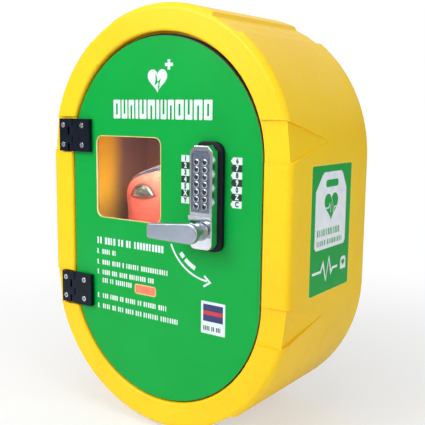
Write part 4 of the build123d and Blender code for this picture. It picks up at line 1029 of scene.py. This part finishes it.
# window surround, and stitches round it
bm = bmesh.new()
front_y = CASE_H1
def on_front(x, z, h):
    hit = tree.ray_cast(on_door(x, z, CASE_H1 + 20), Vector((0, 1, 0)), 0.06)
    y = hit[0].y if hit[0] is not None else -CASE_H1 * MM
    return Vector((x * MM, y - h * MM, z * MM))
ring(bm, half_moon(3.2), half_moon(-0.4), -0.5, 0.7, on_front)
from_bm("case_window_surround", bm, "defibrillator", plastic("moon_surround", (120, 74, 62), 0.4))
# the film itself, bulged a little by the pad behind it
bm = bmesh.new()
rows = []
for k, (f, lift) in enumerate(((1.0, 0.0), (0.82, 0.9), (0.6, 1.6), (0.36, 2.0), (0.14, 2.1))):
    rows.append([bm.verts.new(on_front(-77.5 + (x + 77.5) * f, 34.0 + (z - 34.0) * f, lift - 1.9)) for x, z in half_moon(0.8)])
for a, b in zip(rows, rows[1:]):
    for i in range(len(a)):
        j = (i + 1) % len(a)
        bm.faces.new((a[i], a[j], b[j], b[i]))
bm.faces.new(rows[-1])
moon_film = from_bm("case_window_film", bm, "defibrillator", OVERRIDE["case_window"], smooth=0)
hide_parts("case_window")
bm = bmesh.new()
def stitches(loop, pitch, length, closed=True):
    d = 0.0
    loop = loop + ([loop[0]] if closed else [])
    for a, b in zip(loop, loop[1:]):
        L = math.dist(a, b)
        while d < L:
            f = d / L
            x, z = a[0] + (b[0] - a[0]) * f, a[1] + (b[1] - a[1]) * f
            t = Vector(((b[0] - a[0]) / L, (b[1] - a[1]) / L))
            n = Vector((-t.y, t.x))
            w = 0.32
            quad = [(x - t.x * length / 2 + n.x * w * s1, z - t.y * length / 2 + n.y * w * s1) for s1 in (-1, 1)]
            quad += [(x + t.x * length / 2 + n.x * w * s1, z + t.y * length / 2 + n.y * w * s1) for s1 in (1, -1)]
            slab(bm, quad, -0.15, 0.38, on_front)
            d += pitch
        d -= L
stitches(half_moon(5.0), 3.4, 2.2)
stitches(resample(case_loop(19.0), 260), 3.6, 2.3)
from_bm("case_stitching", bm, "defibrillator", webbing("stitch_thread", (196, 60, 46)))

# carrying strap: webbing sewn down at both ends, arched above the case
slo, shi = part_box("case_strap")
sy0, sy1 = slo.y + 0.0006, shi.y - 0.0006
yc = (sy0 + sy1) / 2


def top_z(x):
    hit = tree.ray_cast(Vector((x * MM, yc, 0.2)), Vector((0, 0, -1)), 0.3)
    return hit[0].z / MM if hit[0] is not None else 86.0


path = []
for i in range(57):
    x = -84.0 + 168.0 * i / 56
    base = top_z(x) + 1.0
    t = max(0.0, 1 - abs(x) / 58.0)
    lift = 23.6 * (1 - (1 - t) ** 2.4) if t > 0 else 0.0
    path.append(Vector((x * MM, 0, min((base + lift) * MM, shi.z - 0.0014))))
path = [path[0]] + [(path[i - 1] + path[i] * 2 + path[i + 1]) / 4 for i in range(1, len(path) - 1)] + [path[-1]]
bm = bmesh.new()
rows = []
for i, p in enumerate(path):
    a, b = path[max(i - 1, 0)], path[min(i + 1, len(path) - 1)]
    t = (b - a).normalized()
    n = Vector((-t.z, 0, t.x))
    sect = []
    for yy, off in ((sy0, 0.0), (sy0 + 0.0012, 0.0009), (yc, 0.0011), (sy1 - 0.0012, 0.0009), (sy1, 0.0), (sy1 - 0.0012, -0.0007), (yc, -0.0008), (sy0 + 0.0012, -0.0007)):
        sect.append(bm.verts.new(Vector((p.x, yy, p.z)) + n * off))
    rows.append(sect)
for a, b in zip(rows, rows[1:]):
    for k in range(8):
        bm.faces.new((a[k], a[(k + 1) % 8], b[(k + 1) % 8], b[k]))
bm.faces.new(rows[0])
bm.faces.new(rows[-1])
strap = from_bm("carry_strap", bm, "defibrillator", MATS["webbing"], smooth=50)
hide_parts("case_strap")
bm = bmesh.new()
for sgn in (-1, 1):
    for x in [60 + 2.6 * k for k in range(9)]:
        for yy in ((sy0 + 0.003, sy1 - 0.003) if 0 < x - 60 < 20 else [sy0 + 0.003 + (sy1 - sy0 - 0.006) * q / 7 for q in range(8)]):
            z = (top_z(sgn * x) + 1.0) * MM + 0.0012
            vs = [bm.verts.new(Vector((sgn * x * MM + a, yy + b, z + c))) for a in (-0.0010, 0.0010) for b in (-0.0004, 0.0004) for c in (-0.0006, 0.0004)]
            for f in ((0, 1, 3, 2), (4, 6, 7, 5), (0, 4, 5, 1), (2, 3, 7, 6), (0, 2, 6, 4), (1, 5, 7, 3)):
                bm.faces.new([vs[k] for k in f])
from_bm("strap_stitching", bm, "defibrillator", webbing("strap_thread", (120, 126, 140)))

# ------------------------------------------------------------------ floor, light, camera
bpy.ops.mesh.primitive_plane_add(size=40, location=(0, 0, FLOOR_Z))
floor = bpy.context.object
floor.name = "floor"
m = Mat("floor_pale")
x, y, z = m.xyz()
d2 = m.math("SQRT", m.math("ADD", m.math("POWER", x, 2.0), m.math("POWER", y, 2.0)))
m.set("Base Color", m.mix(m.noise(6, 3), (0.90, 0.90, 0.90), (0.94, 0.94, 0.94)))
m.set("Roughness", 0.75)
em = m.n("ShaderNodeEmission")
em.inputs["Strength"].default_value = 1.0
ms = m.n("ShaderNodeMixShader")
m.link(m.map(d2, 0.10, 1.1, 0.42, 1.0, smooth=True), ms.inputs[0])
m.link(m.b.outputs[0], ms.inputs[1])
m.link(em.outputs[0], ms.inputs[2])
# the fade to white is for the camera only, so that it throws no light on the underside
lpf = m.n("ShaderNodeLightPath")
fade = m.math("MULTIPLY", m.map(d2, 0.10, 1.1, 0.5, 1.0, smooth=True), lpf.outputs["Is Camera Ray"])
m.link(fade, ms.inputs[0])
m.link(ms.outputs[0], m.out.inputs[0])
floor.data.materials.append(m.m)

world = bpy.data.worlds.new("studio")
bpy.context.scene.world = world
world.use_nodes = True
nt = world.node_tree
nt.nodes.clear()
wo = nt.nodes.new("ShaderNodeOutputWorld")
cam_bg = nt.nodes.new("ShaderNodeBackground")
cam_bg.inputs[0].default_value = (1, 1, 1, 1)
fill_bg = nt.nodes.new("ShaderNodeBackground")
fill_bg.inputs[0].default_value = (0.93, 0.97, 1.0, 1)
fill_bg.inputs[1].default_value = 0.42
gl_bg = nt.nodes.new("ShaderNodeBackground")
tc = nt.nodes.new("ShaderNodeTexCoord")
sep = nt.nodes.new("ShaderNodeSeparateXYZ")
nt.links.new(tc.outputs["Generated"], sep.inputs[0])
rampn = nt.nodes.new("ShaderNodeValToRGB")
mr = nt.nodes.new("ShaderNodeMapRange")
nt.links.new(sep.outputs["Z"], mr.inputs["Value"])
mr.inputs["From Min"].default_value = -1.0
mr.inputs["From Max"].default_value = 1.0
nt.links.new(mr.outputs[0], rampn.inputs[0])
cr = rampn.color_ramp
cr.elements[0].position, cr.elements[0].color = 0.0, (0.75, 0.75, 0.75, 1)
cr.elements[1].position, cr.elements[1].color = 1.0, (1.0, 1.0, 1.0, 1)
for pos, v in ((0.40, 0.55), (0.50, 0.16), (0.56, 0.22), (0.66, 0.8), (0.80, 0.95)):
    e = cr.elements.new(pos)
    e.color = (v, v, v * 1.03, 1)
nt.links.new(rampn.outputs[0], gl_bg.inputs[0])
lp = nt.nodes.new("ShaderNodeLightPath")
mix1 = nt.nodes.new("ShaderNodeMixShader")
mix2 = nt.nodes.new("ShaderNodeMixShader")
nt.links.new(lp.outputs["Is Glossy Ray"], mix1.inputs[0])
nt.links.new(fill_bg.outputs[0], mix1.inputs[1])
nt.links.new(gl_bg.outputs[0], mix1.inputs[2])
nt.links.new(lp.outputs["Is Camera Ray"], mix2.inputs[0])
nt.links.new(mix1.outputs[0], mix2.inputs[1])
nt.links.new(cam_bg.outputs[0], mix2.inputs[2])
nt.links.new(mix2.outputs[0], wo.inputs[0])


def area(name, loc, aim, size, power, colour=(1, 1, 1), hidden=False, size_y=None):
    d = bpy.data.lights.new(name, "AREA")
    d.energy, d.size, d.color = power, size, colour
    if size_y:
        d.shape, d.size_y = "RECTANGLE", size_y
    o = bpy.data.objects.new(name, d)
    bpy.context.scene.collection.objects.link(o)
    o.location = loc
    o.rotation_mode = "QUATERNION"
    o.rotation_quaternion = (Vector(aim) - Vector(loc)).to_track_quat("-Z", "Y")
    o.visible_camera = False
    if hidden:
        o.visible_glossy = False
    return o


area("key_light", (-0.75, -1.9, 1.05), (0, -0.2, 0.0), 0.9, 27)
area("fill_light", (1.9, -0.9, 0.75), (0.1, -0.1, 0.05), 0.8, 9, (1.0, 0.97, 0.92), size_y=1.6)
area("top_light", (0.2, -0.5, 1.7), (0, -0.1, 0.1), 1.1, 10)
wall_light = area("cavity_wall_light", (0.035, -0.198, 0.130), (-0.208, -0.135, -0.020), 0.05, 0.185, (1.0, 0.90, 0.74), hidden=True)
wall_light.data.spread = math.radians(96)
area("cavity_low_light", (-0.160, -0.192, -0.075), (-0.210, -0.140, 0.000), 0.04, 0.05, (1.0, 0.92, 0.80), hidden=True)
area("cavity_light", (-0.050, -0.2185, 0.090), (-0.06, -0.10, 0.03), 0.05, 0.152, (1.0, 0.96, 0.92), hidden=True)

cam_data = bpy.data.cameras.new("camera")
cam = bpy.data.objects.new("camera", cam_data)
bpy.context.scene.collection.objects.link(cam)
cam_data.lens, cam_data.sensor_width = 58.688, 36.0
cam_data.clip_start, cam_data.clip_end = 0.01, 100
yaw, pitch, roll = math.radians(34.607), math.radians(8.245), math.radians(0.652)
fwd = Vector((-math.sin(yaw) * math.cos(pitch), math.cos(yaw) * math.cos(pitch), -math.sin(pitch)))
rgt = Vector((math.cos(yaw), math.sin(yaw), 0))
upv = rgt.cross(fwd)
r2 = rgt * math.cos(roll) + upv * math.sin(roll)
u2 = -rgt * math.sin(roll) + upv * math.cos(roll)
cam.matrix_world = Matrix(((r2.x, u2.x, -fwd.x, 0.62325), (r2.y, u2.y, -fwd.y, -0.99881), (r2.z, u2.z, -fwd.z, 0.15838), (0, 0, 0, 1)))
bpy.context.scene.camera = cam
bpy.context.scene.view_settings.view_transform = "Standard"
bpy.context.scene.view_settings.look = "None"

bpy.context.view_layer.update()
